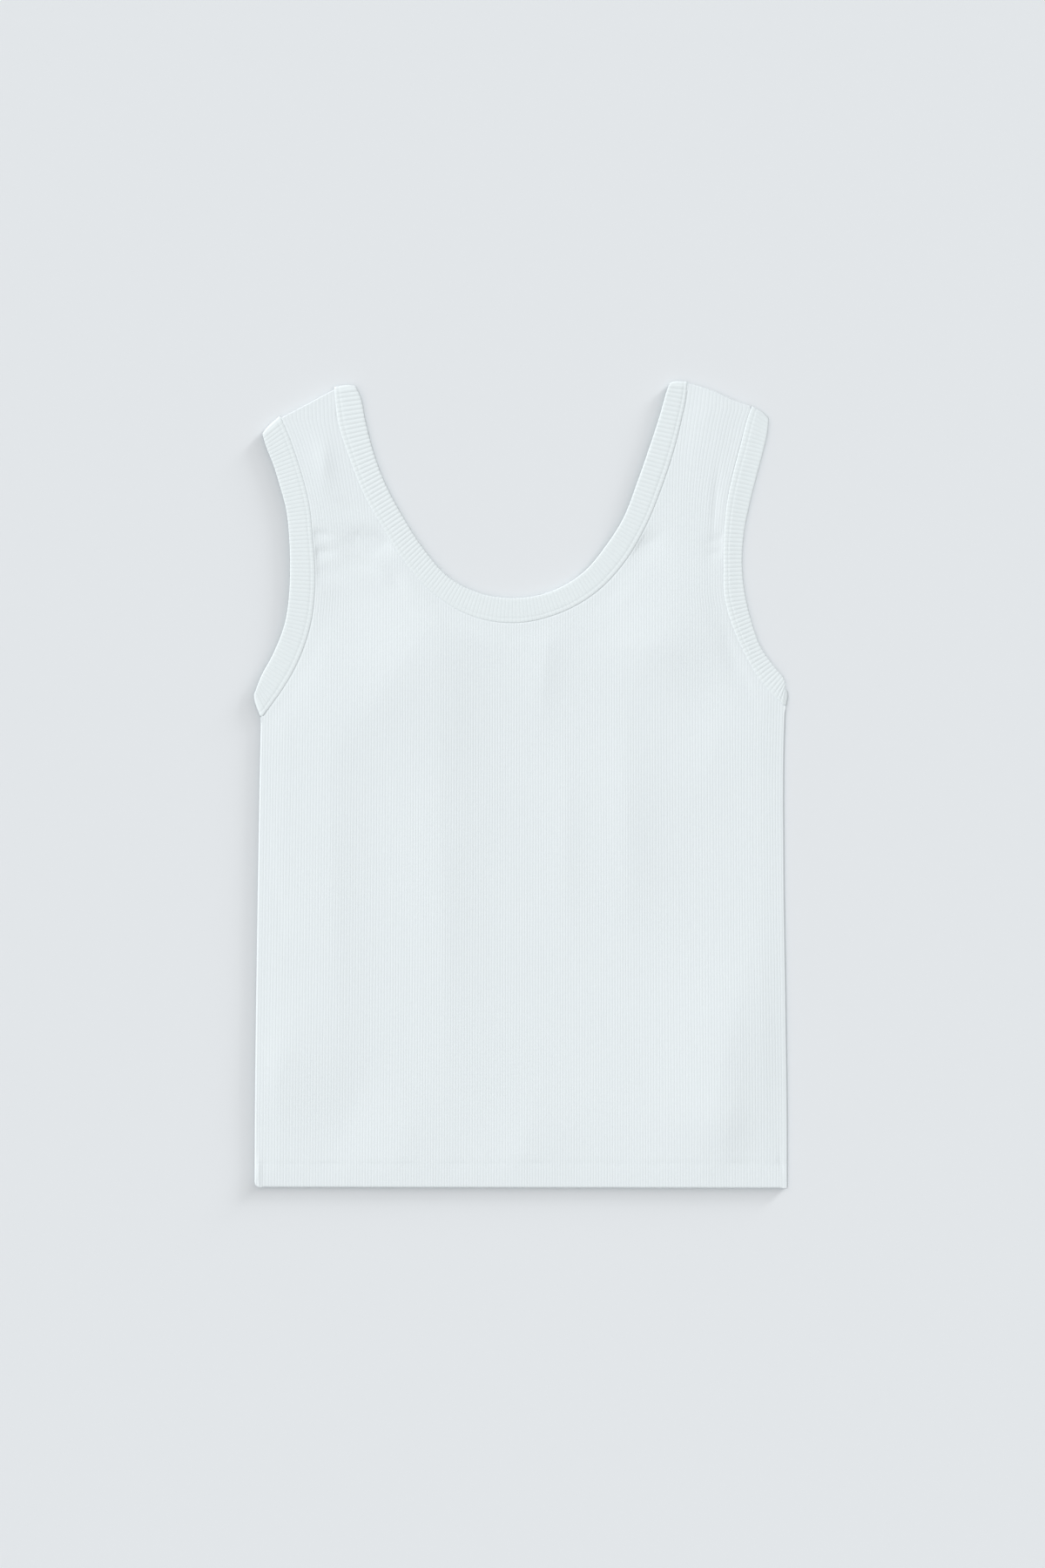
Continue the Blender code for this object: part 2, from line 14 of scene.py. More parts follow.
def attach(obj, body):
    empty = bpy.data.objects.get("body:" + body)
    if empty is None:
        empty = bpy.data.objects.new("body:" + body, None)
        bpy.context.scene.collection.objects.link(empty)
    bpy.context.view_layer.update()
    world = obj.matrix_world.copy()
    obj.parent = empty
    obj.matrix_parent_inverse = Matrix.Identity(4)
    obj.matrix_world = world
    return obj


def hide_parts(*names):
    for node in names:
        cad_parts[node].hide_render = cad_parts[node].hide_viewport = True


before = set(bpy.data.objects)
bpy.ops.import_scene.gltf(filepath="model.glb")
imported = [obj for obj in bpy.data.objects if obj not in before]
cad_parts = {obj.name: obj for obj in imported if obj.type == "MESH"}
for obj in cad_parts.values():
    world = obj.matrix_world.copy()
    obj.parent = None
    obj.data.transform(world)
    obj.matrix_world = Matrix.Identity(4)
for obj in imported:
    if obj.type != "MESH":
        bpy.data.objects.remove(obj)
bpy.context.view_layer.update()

MM = 0.001

# ---- cloth ----
WALL = 1.2                # knit wall in the groove between two ribs
RIB_RISE = 0.13           # height of a rib over its grooves, as it lies stretched flat
SEAM_TUCK = 0.4           # a panel's edge runs this far under the band's rolled edge
BAND_MIDDLE = 2.15        # height of the plane between a band's halves
HALF_GAP = 0.15           # half the space between a band's halves
FRONT_BASE = 1.5          # inner side of the front panel
FOLD_LINE = 1.35          # height where front and back meet along a fold
FRONT_LIFT = 1.1          # how far the front lies over its base, held up by the bands
HEM_RISE = 0.08           # extra thickness of the turned-up hem
HEM_RAMP = 5.0            # how far above and below the hem's top it comes in
SETTLE_REACH = 20.0       # how near the sides and the hem the front lies down
SETTLED_SHARE = 0.7       # share of its lift that is left there
EDGE_ROUND = 1.1          # how far in a folded edge is rounded
EDGE_RIM = 0.4            # thickness of the wall at its rim
SHOULDER_CRISPNESS = 4.0  # how much sharper the shoulders are pressed than the sides
COURSE = 0.85             # height of one row of knit stitches

# ---- panel outline ----
HEM_LEFT_Y, HEM_RIGHT_Y = -295.5, -296.2
HEM_TOP_Y = -277.7
LEFT_CORNER, RIGHT_CORNER = 4.5, 1.5   # radii of the hem's corners
# x, y down each side, from the underarm to the hem's corner
LEFT_SIDE = ((-190.6, 49.5), (-191.6, 0.0), (-193.4, -110.0), (-195.0, -240.0),
             (-195.2, -291.0))
RIGHT_SIDE = ((195.2, 57.5), (194.3, 30.0), (194.2, -60.0), (195.6, -160.0),
              (196.6, -250.0), (196.6, -294.7))
# x, y along each shoulder's fold, left to right
LEFT_SHOULDER = ((-175.5, 269.6), (-158.8, 278.4), (-146.3, 285.2), (-136.4, 290.4))
RIGHT_SHOULDER = ((122.7, 295.2), (131.0, 292.9), (145.0, 288.0), (157.0, 282.2),
                  (169.0, 278.0))

# ---- bands: seam x, seam y, open edge x, open edge y; ends are fold lines ----
NECK_BAND = (
    (-136.5, 289.6, -120.5, 291.9),
    (-136.2, 284.5, -118.0, 287.0),
    (-133.4, 264.0, -113.5, 267.5),
    (-126.2, 241.5, -108.5, 247.5),
    (-115.0, 213.5, -99.5, 222.5),
    (-99.8, 186.5, -85.5, 196.0),
    (-83.5, 161.5, -71.0, 173.5),
    (-62.5, 139.0, -52.5, 152.5),
    (-34.0, 123.0, -28.7, 140.3),
    (-4.0, 118.5, -4.0, 137.0),
    (27.0, 125.0, 21.5, 141.5),
    (55.0, 140.5, 45.5, 155.3),
    (78.0, 165.0, 63.6, 176.5),
    (91.0, 187.0, 75.0, 194.5),
    (104.0, 218.0, 86.4, 223.5),
    (112.0, 242.0, 94.4, 246.5),
    (119.0, 269.5, 102.8, 272.5),
    (122.3, 287.0, 107.7, 289.5),
    (122.7, 293.5, 109.3, 293.9),
)
LEFT_ARM_BAND = (
    (-175.1, 268.9, -189.1, 256.4),
    (-170.5, 258.5, -186.5, 248.0),
    (-164.0, 240.5, -181.0, 234.0),
    (-159.5, 226.0, -177.0, 221.0),
    (-154.5, 205.5, -172.0, 202.5),
    (-152.0, 180.0, -169.5, 179.0),
    (-150.3, 157.5, -169.0, 158.0),
    (-150.5, 141.5, -169.5, 143.0),
    (-154.0, 116.0, -172.5, 120.0),
    (-163.5, 89.0, -180.5, 98.0),
    (-176.0, 67.5, -190.5, 79.0),
    (-188.5, 50.7, -194.8, 67.7),
)
RIGHT_ARM_BAND = (
    (168.9, 276.0, 182.4, 267.7),
    (166.0, 267.5, 181.8, 260.0),
    (161.5, 250.0, 178.8, 246.0),
    (156.5, 231.0, 173.8, 227.0),
    (152.0, 210.5, 168.8, 207.0),
    (149.5, 186.0, 164.5, 185.0),
    (149.0, 160.5, 163.0, 161.0),
    (150.0, 136.0, 165.5, 138.0),
    (155.0, 118.5, 168.8, 124.0),
    (165.0, 95.5, 176.8, 101.0),
    (175.5, 77.5, 186.8, 86.5),
    (186.0, 65.5, 194.0, 77.0),
    (193.3, 58.3, 194.8, 70.0),
)
# name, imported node, rows, ribs over the front, squeeze of the ribs at the middle,
# rib height at the ends and in the middle, share of the front half's thickness that is
# pressed out all over, and the further share lost (below zero: gained) at the open edge
BANDS = (
    ("neck_band", "neck_binding", NECK_BAND, 145, 0.1, 0.36, 0.10, 0.10, -0.02),
    ("left_armhole_band", "armhole_binding_left", LEFT_ARM_BAND, 72, 0.0, 0.20, 0.20, 0.12, -0.03),
    ("right_armhole_band", "armhole_binding_right", RIGHT_ARM_BAND, 71, 0.0, 0.42, 0.42, 0.15,
     0.32),
)

# ---- how the body's ribs run ----
BODY_RIBS = 188
# rib number from the left side, its x at the underarm and at the hem
RIB_TRACKS = (
    (0.0, -190.7, -195.2),
    (18.0, -152.9, -156.5),
    (32.0, -123.4, -126.3),
    (47.0, -91.8, -94.0),
    (94.0, 1.7, 1.5),
    (141.0, 95.2, 96.4),
    (151.0, 116.3, 117.9),
    (168.0, 152.0, 154.0),
    (188.0, 194.2, 196.7),
)
LEFT_EDGE_TRACK, LEFT_ARM_TRACK, LEFT_NECK_TRACK = 0, 1, 2
RIGHT_NECK_TRACK, RIGHT_ARM_TRACK, RIGHT_EDGE_TRACK = 6, 7, 8
LEFT_ARM_RIB, RIGHT_ARM_RIB = 18, 168
UNDERARM_Y = 50.0
# y, sideways lean of the strap ribs that end beside the neck band
LEFT_NECK_LEAN = ((190.0, 0.0), (211.0, -2.4), (240.0, -7.2), (264.0, -11.2), (290.0, -12.2))
RIGHT_NECK_LEAN = ((215.0, 0.0), (242.0, 0.9), (269.0, 3.9), (292.0, 7.3))

# ---- soft folds: x, y, half length, its width to the left and right of its
# direction, direction (degrees from +X), rise
FRONT_WAVES = (
    # left chest: a valley under the strap, then a ridge down towards the armhole
    (-120, 140, 44, 30, 48, 4, -1.10),
    (-92, 82, 66, 50, 50, 54, 2.40),
    # long waves down the body
    (-138, -75, 140, 34, 22, 91, 1.10),
    (-58, -60, 150, 36, 26, 91, 1.50),
    (-48, 60, 34, 20, 12, 90, 0.25),
    (18, 86, 34, 16, 12, 84, 0.80),
    (33, -35, 62, 20, 12, 90, 0.60),
    (78, -25, 72, 26, 22, 91, 1.20),
    # left strap: a bulge
    (-144, 236, 17, 12, 9, 84, 1.10),
    # right strap: falls away from the shoulder, and two bulges below it
    (130, 276, 40, 50, 24, 165, 0.60),
    (105, 103, 36, 44, 30, 2, 2.20),
    (147, 34, 56, 22, 40, 67, 0.80),
    # near the hem
    (4, -262, 24, 20, 22, 76, 0.70),
    (150, -200, 66, 60, 36, 78, 2.80),
    (152, -248, 22, 38, 15, 80, 1.50),
    (-176, -205, 40, 20, 36, 66, 1.00),
    (-126, -243, 36, 26, 18, 66, -0.70),
    (-86, -262, 34, 26, 22, 66, 0.65),
)
# short creases, most of them where a seam holds the cloth
FRONT_CREASES = (
    (-146, 184, 8, 3, 5, -12, -0.80),
    (-146, 171, 9, 3.5, 9, 4, -0.90),
    (-108, 180, 14, 10, 5, 165, -1.50),
    (-116, 163, 15, 6, 4, 158, -0.60),
    (-124, 203, 13, 6, 4, 150, -0.50),
    (-124, 176, 18, 9, 14, 2, -0.65),
    (-141, 157, 14, 4, 7, 10, -0.70),
    (-92, 151, 10, 5, 6, 125, -0.60),
    (94, 177, 12, 6.5, 17, 34, -0.95),
    (144, 180, 10, 4, 8, 20, -0.50),
    (142, 170, 7, 3, 5, 14, -0.40),
    (143, 206, 24, 2.8, 2.8, 86, -0.40),
    (155, 92, 17, 4, 4, 108, -0.60),
    (165, 76, 16, 3.4, 3.4, 114, -0.50),
    (-176, -97, 15, 5, 5, 100, -0.35),
    (191, -277, 7, 1.6, 1.6, 100, -0.35),
    # bulk of the side seam where it is caught in the hem
    (-192.2, -284.5, 9.5, 2.2, 2.2, 88, 1.00),
    (-192, -273.6, 4.5, 1, 1, 4, -0.60),
)
# the back's folds, pressed into the side it lies on
BACK_FOLDS = (
    (-120, 190, 20, 5, 8, 20, -0.40),
    (118, 214, 16, 4, 5, 160, -0.40),
    (-140, 70, 26, 4, 7, 120, -0.45),
    (144, 84, 24, 5, 9, 62, -0.45),
    (-60, -40, 120, 10, 14, 88, -0.35),
    (44, -120, 140, 11, 16, 93, -0.35),
    (120, -210, 30, 7, 9, 75, -0.40),
    (-150, -232, 26, 6, 10, 100, -0.40),
)
CREST = 1.5               # power across a fold: 1 is a sharp crest, 2 a round one
WAVE_FADE, CREASE_FADE = 20.0, 3.0     # distance from a seam over which they come in
SEAM_DITCH, DITCH_REACH = 0.14, 0.7    # depth and reach of the ditch along a seam
# y, share of the ditch: the seams lie smoother up the straps
SEAM_TIGHTNESS = ((130.0, 1.0), (195.0, 0.5))
# depth of the hem's stitch line, its reach above the line and below it
STITCH_DITCH, STITCH_REACH, HEM_RECOVERY = 0.24, 0.8, 6.0
# share of that depth: its mean, its swing, the lengths and the start of its waves
PULL_MEAN, PULL_SWING, PULL_LENGTHS, PULL_START = 0.65, 0.35, (6.0, 23.0), 1.0
RIB_CALM_REACH = 1.6      # how far from a seam the ribs are pressed flat
RIB_FULLNESS = 0.75       # power of the sine that rounds a rib: less is fuller
RIB_UNEVEN = 0.14         # share by which the ribs differ in height
RIB_BEATS = (2.4, 0.7)    # radians from rib to rib of the waves that make them differ
RIB_WANDER = 0.14         # sideways wander of a rib
# its waves: length of a radian along the rib, radians from rib to rib
WANDER_WAVES = ((17.0, 0.9), (43.0, 0.37))
WANDER_INLAND = 4.0       # ribs from either side over which it comes in

# ---- fineness ----
CURVE_SAMPLES = 240
COARSE = slice(None, None, 4)   # of those samples, the ones that distances are taken to
RIB_CUTS = 3              # cuts that give each rib its round back
SPLIT_Y = 40.0            # rows are level below this and fan out above it
# the first rows' heights over the hem's edge, close at the edge and at the stitches
HEM_ROWS = (0.0, 0.5, 1.3, 2.4, 6.0, 11.0, 15.0, 16.4, 17.2, 17.8, 18.6, 20.0, 24.0)
BODY_ROWS = 31            # level rows between the hem's rows and SPLIT_Y
ARM_ROWS = 10             # rows from SPLIT_Y to where the ribs meet the armholes
# rows from there to the neck and shoulders, close where the short creases are:
# share of the way up, rows to there
STRAP_BANDS = ((0.24, 8), (0.57, 32), (1.0, 24))
STRAP_ROWS = sum(count for _, count in STRAP_BANDS)
EVENED = 10               # columns on each side over which the rows are evened out
EVENED_SHARE = 0.6        # share of the way up where they start to follow the edge
# steps up in search of the panel's upper edge, and halvings of the step that meets it
CLIMB_STEPS, CLIMB_HALVINGS = 140, 16
LEAST_RUN = 1e-9          # keeps a line's run of no length from dividing by nothing
LEVEL_WITHIN = 1e-6       # how far an edge of the unit block may lean and count as level
WELD_WITHIN = 1e-7        # points nearer than this, in metres, are one

# ---- bands' section and ends ----
BAND_EDGE_ROUND = 1.0     # half the thickness of the folded open edge
BAND_EDGE_POINTS = 8      # points round it
BAND_STITCH = 3.6         # distance of the stitch line from the seam
BAND_DITCH = 0.16         # depth of the stitch line
BAND_EDGE_RISE = 0.12     # scallop of the ribs on the open edge
SCALLOPED_FROM = 0.9      # share across the band where the scallop starts
# shares across a band: on its inner side, and on its back from the open edge inwards
INNER_SHARES = (0.0, 0.25, 0.5, 0.75)
BACK_SHARES = (0.85, 0.72, 0.58, 0.45, 0.34)
# share across from the stitch line, drop below the back, share of the ribs' height
STITCH_GROOVE = (
    (0.075, 0.0, 1.0),
    (0.035, 0.02, 0.8),
    (0.0, BAND_DITCH, 0.5),
    (-0.035, 0.02, 0.6),
    (-0.07, 0.0, 0.6),
)
# share across from the seam, drop below the back, share of the ribs' height
SEAM_LIP = (
    (0.075, 0.02, 0.6),
    (0.04, 0.12, 0.5),
    (0.015, 0.32, 0.3),
    (0.0, 0.7, 0.0),
)
MIDWAY_POWER = 4          # how close to its middle a band's ribs reach their midway height
FOLD_STATIONS = 8         # steps round the fold at a band's end
# the fold's reach for its height, the power that squares its bow, the bow's least share
END_REACH, END_SQUARE, END_LEAST = 1.2, 0.6, 0.15

# ---- stitches ----
STITCH_LENGTH, STITCH_GAP = 2.1, 0.6
THREAD = 0.24             # thickness of the sewing thread
THREAD_SINK = 0.03        # how far a band's thread lies below the bottom of its ditch
HEM_THREAD_SINK = 0.096   # how far the hem's thread lies below the cloth's outer side
BEAD_SIDES, BEAD_RINGS = 6, 5
BAND_SEWN = (0.01, 0.99)  # shares of a band's length between which it is sewn
HEM_SEWN_ROWS = (-1.6, 0.0)   # heights of the hem's rows of stitches over HEM_TOP_Y
HEM_SEWN_INSET = 0.6      # ribs left free at both ends of those rows
BY_GROOVE = 0.1           # place on a rib, beside its groove, where the rows' height is read

# ---- knit and thread ----
# light and dark tone; the dark one is for fibres and for painted shade in the grooves
BODY_TONES = ((0.69, 0.74, 0.76), (0.66, 0.71, 0.73))
BAND_TONES = ((0.69, 0.744, 0.759), (0.65, 0.7, 0.715))
# the thread's light tone is a little darker than the cloth's: painted shade along the stitch lines
THREAD_TONES = ((0.66, 0.71, 0.73), (0.58, 0.63, 0.65))
# rows by which a loop slants from a rib's crest to its groove
LOOP_SLANT = 0.6
# from 0 on a rib's crest to 1 in its groove: where the loops' legs rise, where the
# rib's flank rises, and where painted shade darkens the groove
LEGS, FLANK, GROOVE_SHADE = (0.0, 0.22), (1.0, 0.7), (0.55, 1.0)
# unevenness of the yarn: scale for each metre, detail
BROAD_NOISE, FINE_NOISE, FIBRE_NOISE = (14.0, 3.0), (420.0, 2.0), (2600.0, 2.0)
BROAD_SHARE, FINE_SHARE = 0.6, 0.4
UNEVEN_TONES = (0.3, 0.75)     # the yarn's values between which it darkens
UNEVEN_SHARE, GROOVE_SHADE_SHARE = 0.3, 0.7   # of the dark tone, from the yarn and as painted shade in grooves
FIBRE_SHARE = 0.5              # the fibres' height, as a share of a loop's
KNIT_DEPTH, KNIT_BUMP = 0.1, 0.6        # a loop's height, and how strongly it shows
COTTON_FINISH = (
    ("Roughness", 0.9),
    ("Specular IOR Level", 0.25),
    ("Sheen Weight", 0.15),
    ("Sheen Roughness", 0.6),
)
THREAD_FINISH = (("Roughness", 0.7),)

# ---- floor, lamps and camera, in metres ----
FLOOR_SIZE = 30.0
FLOOR_DROP = 0.0002       # keeps the floor just under the cloth
FLOOR_COLOUR = (0.822, 0.854, 0.88)
FLOOR_FINISH = (("Roughness", 0.95), ("Specular IOR Level", 0.1))
ROOM_LIGHT = 0.45
# lamp, strength, softness in degrees, direction towards it
TOP_LAMP = ("top_lamp", 0.88, 100.0, (0.0, 0.0, 1.0))
CLOTH_LAMP = ("cloth_lamp", 2.65, 40.0, (-0.79, 0.61, 0.577))
FLOOR_LAMPS = (
    ("low_floor_lamp", 1.90, 14.0, (1.0, 0.9, 0.23)),
    ("floor_lamp", 0.80, 28.0, (1.0, 0.9, 0.543)),
)
CAMERA_X, CAMERA_Y, CAMERA_HEIGHT = 0.0016, 0.0006, 2.88
CAMERA_LENS, CAMERA_SENSOR = 90.0, 36.0    # in millimetres


def smooth_curve(rows, shares):
    """Read a table's smooth curve at shares (0 to 1) of its length."""
    rows = np.array(rows, float)
    shares = np.atleast_1d(np.asarray(shares, float))
    steps = np.linalg.norm(np.diff(rows, axis=0), axis=1)
    knots = np.concatenate(([0.0], np.cumsum(steps))) / steps.sum()
    spans = np.diff(knots)[:, None]
    slopes = np.diff(rows, axis=0) / spans
    inner = (slopes[:-1] * spans[1:] + slopes[1:] * spans[:-1]) / (spans[1:] + spans[:-1])
    tangents = np.vstack((slopes[:1], inner, slopes[-1:]))
    index = np.clip(np.searchsorted(knots, shares, side="right") - 1, 0, len(spans) - 1)
    span = spans[index]
    t = ((shares - knots[index])[:, None]) / span
    start, end = rows[index], rows[index + 1]
    pull_start, pull_end = tangents[index] * span, tangents[index + 1] * span
    return (start * (2 * t**3 - 3 * t**2 + 1) + pull_start * (t**3 - 2 * t**2 + t)
            + end * (3 * t**2 - 2 * t**3) + pull_end * (t**3 - t**2))


def line_length(points):
    """Length of a line of x, y points."""
    return float(np.linalg.norm(np.diff(points, axis=0), axis=1).sum())


def shifted(points, shift):
    """A line moved sideways, to its left for a positive shift."""
    along = np.gradient(points, axis=0)
    along /= np.linalg.norm(along, axis=1)[:, None]
    return points + shift * np.column_stack((-along[:, 1], along[:, 0]))


def seam_of(band, shift=0.0):
    """A band's seam line, moved sideways."""
    seam = [row[:2] for row in band]
    return shifted(smooth_curve(seam, np.linspace(0.0, 1.0, CURVE_SAMPLES)), shift)


def distance_to(points, line):
    """Distance of each point from an open line."""
    points = np.asarray(points, float)[:, None, :]
    starts, runs = line[:-1][None], np.diff(line, axis=0)[None]
    share = ((points - starts) * runs).sum(2) / np.maximum((runs**2).sum(2), LEAST_RUN)
    nearest = starts + runs * np.clip(share, 0, 1)[:, :, None]
    return np.linalg.norm(points - nearest, axis=2).min(1)


def ease(value):
    """Smooth step from 0 to 1."""
    value = np.clip(value, 0.0, 1.0)
    return value * value * (3 - 2 * value)


def crowded(start, stop, count):
    """Shares from start to stop that crowd towards stop, without the start."""
    return start + (stop - start) * np.sin(np.linspace(0.0, math.pi / 2, count + 1)[1:])


class Plan:
    """Flat plan shared by the front and the back: its edges and how its ribs run."""

    def __init__(self):
        self.left_side = self.side_line(LEFT_SIDE)
        self.right_side = self.side_line(RIGHT_SIDE)
        self.left_arm = np.vstack((seam_of(LEFT_ARM_BAND, -SEAM_TUCK)[::-1], LEFT_SHOULDER[0]))
        self.right_arm = np.vstack((seam_of(RIGHT_ARM_BAND, SEAM_TUCK)[::-1],
                                    RIGHT_SHOULDER[-1]))
        self.neck = seam_of(NECK_BAND, SEAM_TUCK)
        self.numbers, self.at_underarm, self.at_hem = np.array(RIB_TRACKS).T
        self.left_meeting = self.meeting(self.left_arm, self.at_underarm[LEFT_ARM_TRACK])
        self.right_meeting = self.meeting(self.right_arm, self.at_underarm[RIGHT_ARM_TRACK])

    @staticmethod
    def side_line(rows):
        """Points up one side, from the hem's corner to the underarm."""
        return smooth_curve(rows, np.linspace(1.0, 0.0, CURVE_SAMPLES))

    @staticmethod
    def meeting(line, x):
        """Height at which a rib that runs straight up at x meets an armhole's edge."""
        first = int(np.argmax(np.abs(line[:, 0]) <= abs(x)))
        return float(np.interp(abs(x), np.abs(line[first:first - 2:-1, 0]),
                               line[first:first - 2:-1, 1]))

    def rib_x(self, rib, y):
        """x of each rib at its height, in step with its neighbours' tracks."""
        down = np.clip((UNDERARM_Y - y) / (UNDERARM_Y - HEM_LEFT_Y), 0, 1)[:, None]
        tracks = self.at_underarm + (self.at_hem - self.at_underarm) * down
        tracks[:, LEFT_EDGE_TRACK] = along_y(self.left_side, y)
        tracks[:, RIGHT_EDGE_TRACK] = along_y(self.right_side, y)
        for track, line, start in ((LEFT_ARM_TRACK, self.left_arm, self.left_meeting),
                                   (RIGHT_ARM_TRACK, self.right_arm, self.right_meeting)):
            tracks[:, track] = np.where(y > start, along_y(line, y), tracks[:, track])
        tracks[:, LEFT_NECK_TRACK] += np.interp(y, *zip(*LEFT_NECK_LEAN))
        tracks[:, RIGHT_NECK_TRACK] += np.interp(y, *zip(*RIGHT_NECK_LEAN))
        before = np.clip(np.searchsorted(self.numbers, rib, side="right") - 1, 0,
                         len(self.numbers) - 2)
        share = (rib - self.numbers[before]) / (self.numbers[before + 1] - self.numbers[before])
        each = np.arange(len(rib))
        return tracks[each, before] * (1 - share) + tracks[each, before + 1] * share

    def hem_y(self, x):
        """Height of the hem's edge, with its rounded corners."""
        low_x, high_x = LEFT_SIDE[-1][0], RIGHT_SIDE[-1][0]
        y = np.interp(x, (low_x, high_x), (HEM_LEFT_Y, HEM_RIGHT_Y))
        for gap, radius in ((x - low_x, LEFT_CORNER), (high_x - x, RIGHT_CORNER)):
            inward = np.clip(radius - gap, 0, radius)
            y = y + radius - np.sqrt(radius**2 - inward**2)
        return y

    def top_y(self, ribs):
        """Height of the panel's upper edge at each rib."""
        neck = self.neck[(self.neck[:, 0] > LEFT_SHOULDER[-1][0])
                         & (self.neck[:, 0] < RIGHT_SHOULDER[0][0])]
        top = self.climb(ribs, np.vstack((LEFT_SHOULDER, neck, RIGHT_SHOULDER)))
        for outside, line, side in ((ribs < LEFT_ARM_RIB, self.left_arm, self.left_side),
                                    (ribs > RIGHT_ARM_RIB, self.right_arm, self.right_side)):
            innermost = int(np.argmin(np.abs(line[:, 0])))
            edge = np.vstack((side[-1], line[:innermost + 1]))
            top[outside] = self.climb(ribs[outside], edge)
        return top

    def climb(self, ribs, edge):
        """Height at which each rib, going up, meets an edge line that runs along x."""
        edge_x, edge_y = edge[np.argsort(edge[:, 0], kind="stable")].T
        sweep = np.linspace(SPLIT_Y, edge_y.max() + 1.0, CLIMB_STEPS)
        under = [y < np.interp(self.rib_x(ribs, np.full(len(ribs), y)), edge_x, edge_y)
                 for y in sweep]
        last = np.argmin(under, axis=0) - 1
        low, high = sweep[last], sweep[last + 1]
        for _ in range(CLIMB_HALVINGS):
            middle = (low + high) / 2
            inside = middle < np.interp(self.rib_x(ribs, middle), edge_x, edge_y)
            low, high = np.where(inside, middle, low), np.where(inside, high, middle)
        return low

    @staticmethod
    def evened(columns, top):
        """The upper edge between the armholes without its jumps from rib to rib."""
        between = (columns >= LEFT_ARM_RIB) & (columns <= RIGHT_ARM_RIB)
        even = top.copy()
        padded = np.pad(top[between], EVENED, mode="edge")
        even[between] = np.convolve(padded, np.ones(2 * EVENED + 1) / (2 * EVENED + 1), "valid")
        return even

    def places(self, rib, row):
        """x, y of each rib and row of the cloth."""
        columns, index = np.unique(rib, return_inverse=True)
        bottom = self.hem_y(self.rib_x(columns, np.full(len(columns), HEM_LEFT_Y)))[index]
        top = self.top_y(columns)
        even = self.evened(columns, top)[index]
        top = top[index]
        level, arm, strap = row_shares()
        edges = (LEFT_ARM_RIB, RIGHT_ARM_RIB)
        corners = self.top_y(np.array(edges, float)) - SPLIT_Y
        meetings = np.array((self.left_meeting, self.right_meeting)) - SPLIT_Y
        bend = np.interp(rib, edges, meetings / corners)
        bend = np.where((rib < LEFT_ARM_RIB) | (rib > RIGHT_ARM_RIB), 1.0, bend)
        rise = bend * arm[row] + (1 - bend) * strap[row]
        y = bottom + (SPLIT_Y - bottom) * level[row] + (even - SPLIT_Y) * rise
        y = y + (top - even) * ease((rise - EVENED_SHARE) / (1 - EVENED_SHARE))
        waves = [np.sin(y / length + beat * rib) for length, beat in WANDER_WAVES]
        wander = RIB_WANDER * np.prod(waves, axis=0)
        inland = ease(np.minimum(rib, BODY_RIBS - rib) / WANDER_INLAND)
        return np.column_stack((self.rib_x(rib, y) + wander * inland, y))

    def distances(self, points):
        """Distances of each point: from all folded edges, from those where the front
        and the back are joined, and from the seams; and the share of its full lift."""
        hem_x = np.linspace(LEFT_SIDE[-1][0], RIGHT_SIDE[-1][0], CURVE_SAMPLES)
        hem = np.column_stack((hem_x, self.hem_y(hem_x)))

        def nearest(*lines):
            return np.min([distance_to(points, line) for line in lines], axis=0)

        to_side = nearest(self.left_side[COARSE], self.right_side[COARSE])
        to_shoulder = nearest(np.array(LEFT_SHOULDER), np.array(RIGHT_SHOULDER))
        to_hem = nearest(hem[COARSE])
        to_seam = nearest(self.left_arm[COARSE], self.right_arm[COARSE], self.neck[COARSE])
        to_joined = np.minimum(to_side, to_shoulder * SHOULDER_CRISPNESS)
        risen = ease(np.minimum(to_side, to_hem) / SETTLE_REACH)
        risen = SETTLED_SHARE + (1 - SETTLED_SHARE) * risen
        return np.minimum(to_joined, to_hem), to_joined, to_seam, risen


def along_y(line, y):
    """x of a line that climbs steadily, at each height."""
    return np.interp(y, line[:, 1], line[:, 0])


def row_shares():
    """For each row: its share up to SPLIT_Y, then to the armholes, then to the top."""
    body = SPLIT_Y - HEM_LEFT_Y
    hem = np.array(HEM_ROWS) / body
    level = np.concatenate((hem, np.linspace(hem[-1], 1.0, BODY_ROWS + 1)[1:]))
    arm = crowded(0.0, 1.0, ARM_ROWS)
    (creased, low_rows), (smooth, creased_rows), (whole, top_rows) = STRAP_BANDS
    strap = np.concatenate((np.linspace(0.0, creased, low_rows + 1)[1:],
                            np.linspace(creased, smooth, creased_rows + 1)[1:],
                            crowded(smooth, whole, top_rows)))
    above = ARM_ROWS + STRAP_ROWS
    return (np.concatenate((level, np.ones(above))),
            np.concatenate((np.zeros(len(level)), arm, np.ones(STRAP_ROWS))),
            np.concatenate((np.zeros(len(level) + ARM_ROWS), strap)))


def rib_profile(rib):
    """Round back of each rib, from 0 in the grooves to about 1 on the crest."""
    which = np.floor(rib)
    quick, slow = RIB_BEATS
    height = 1 - RIB_UNEVEN * (0.5 + 0.5 * np.sin(quick * which) * np.sin(slow * which))
    return height * np.abs(np.sin(math.pi * rib)) ** RIB_FULLNESS


def relief(points, folds):
    """Sum of a table's soft folds at each point."""
    height = np.zeros(len(points))
    for x, y, half_length, to_left, to_right, turn, rise in folds:
        angle = math.radians(turn)
        dx, dy = points[:, 0] - x, points[:, 1] - y
        along = dx * math.cos(angle) + dy * math.sin(angle)
        across = dy * math.cos(angle) - dx * math.sin(angle)
        across = np.abs(across) / np.where(across > 0, to_left, to_right)
        height += rise * np.exp(-(along / half_length) ** 2 - across**CREST)
    return height


def hem_rise(y):
    """Extra thickness of the turned-up hem."""
    return HEM_RISE * ease((HEM_TOP_Y + HEM_RAMP - y) / (2 * HEM_RAMP))


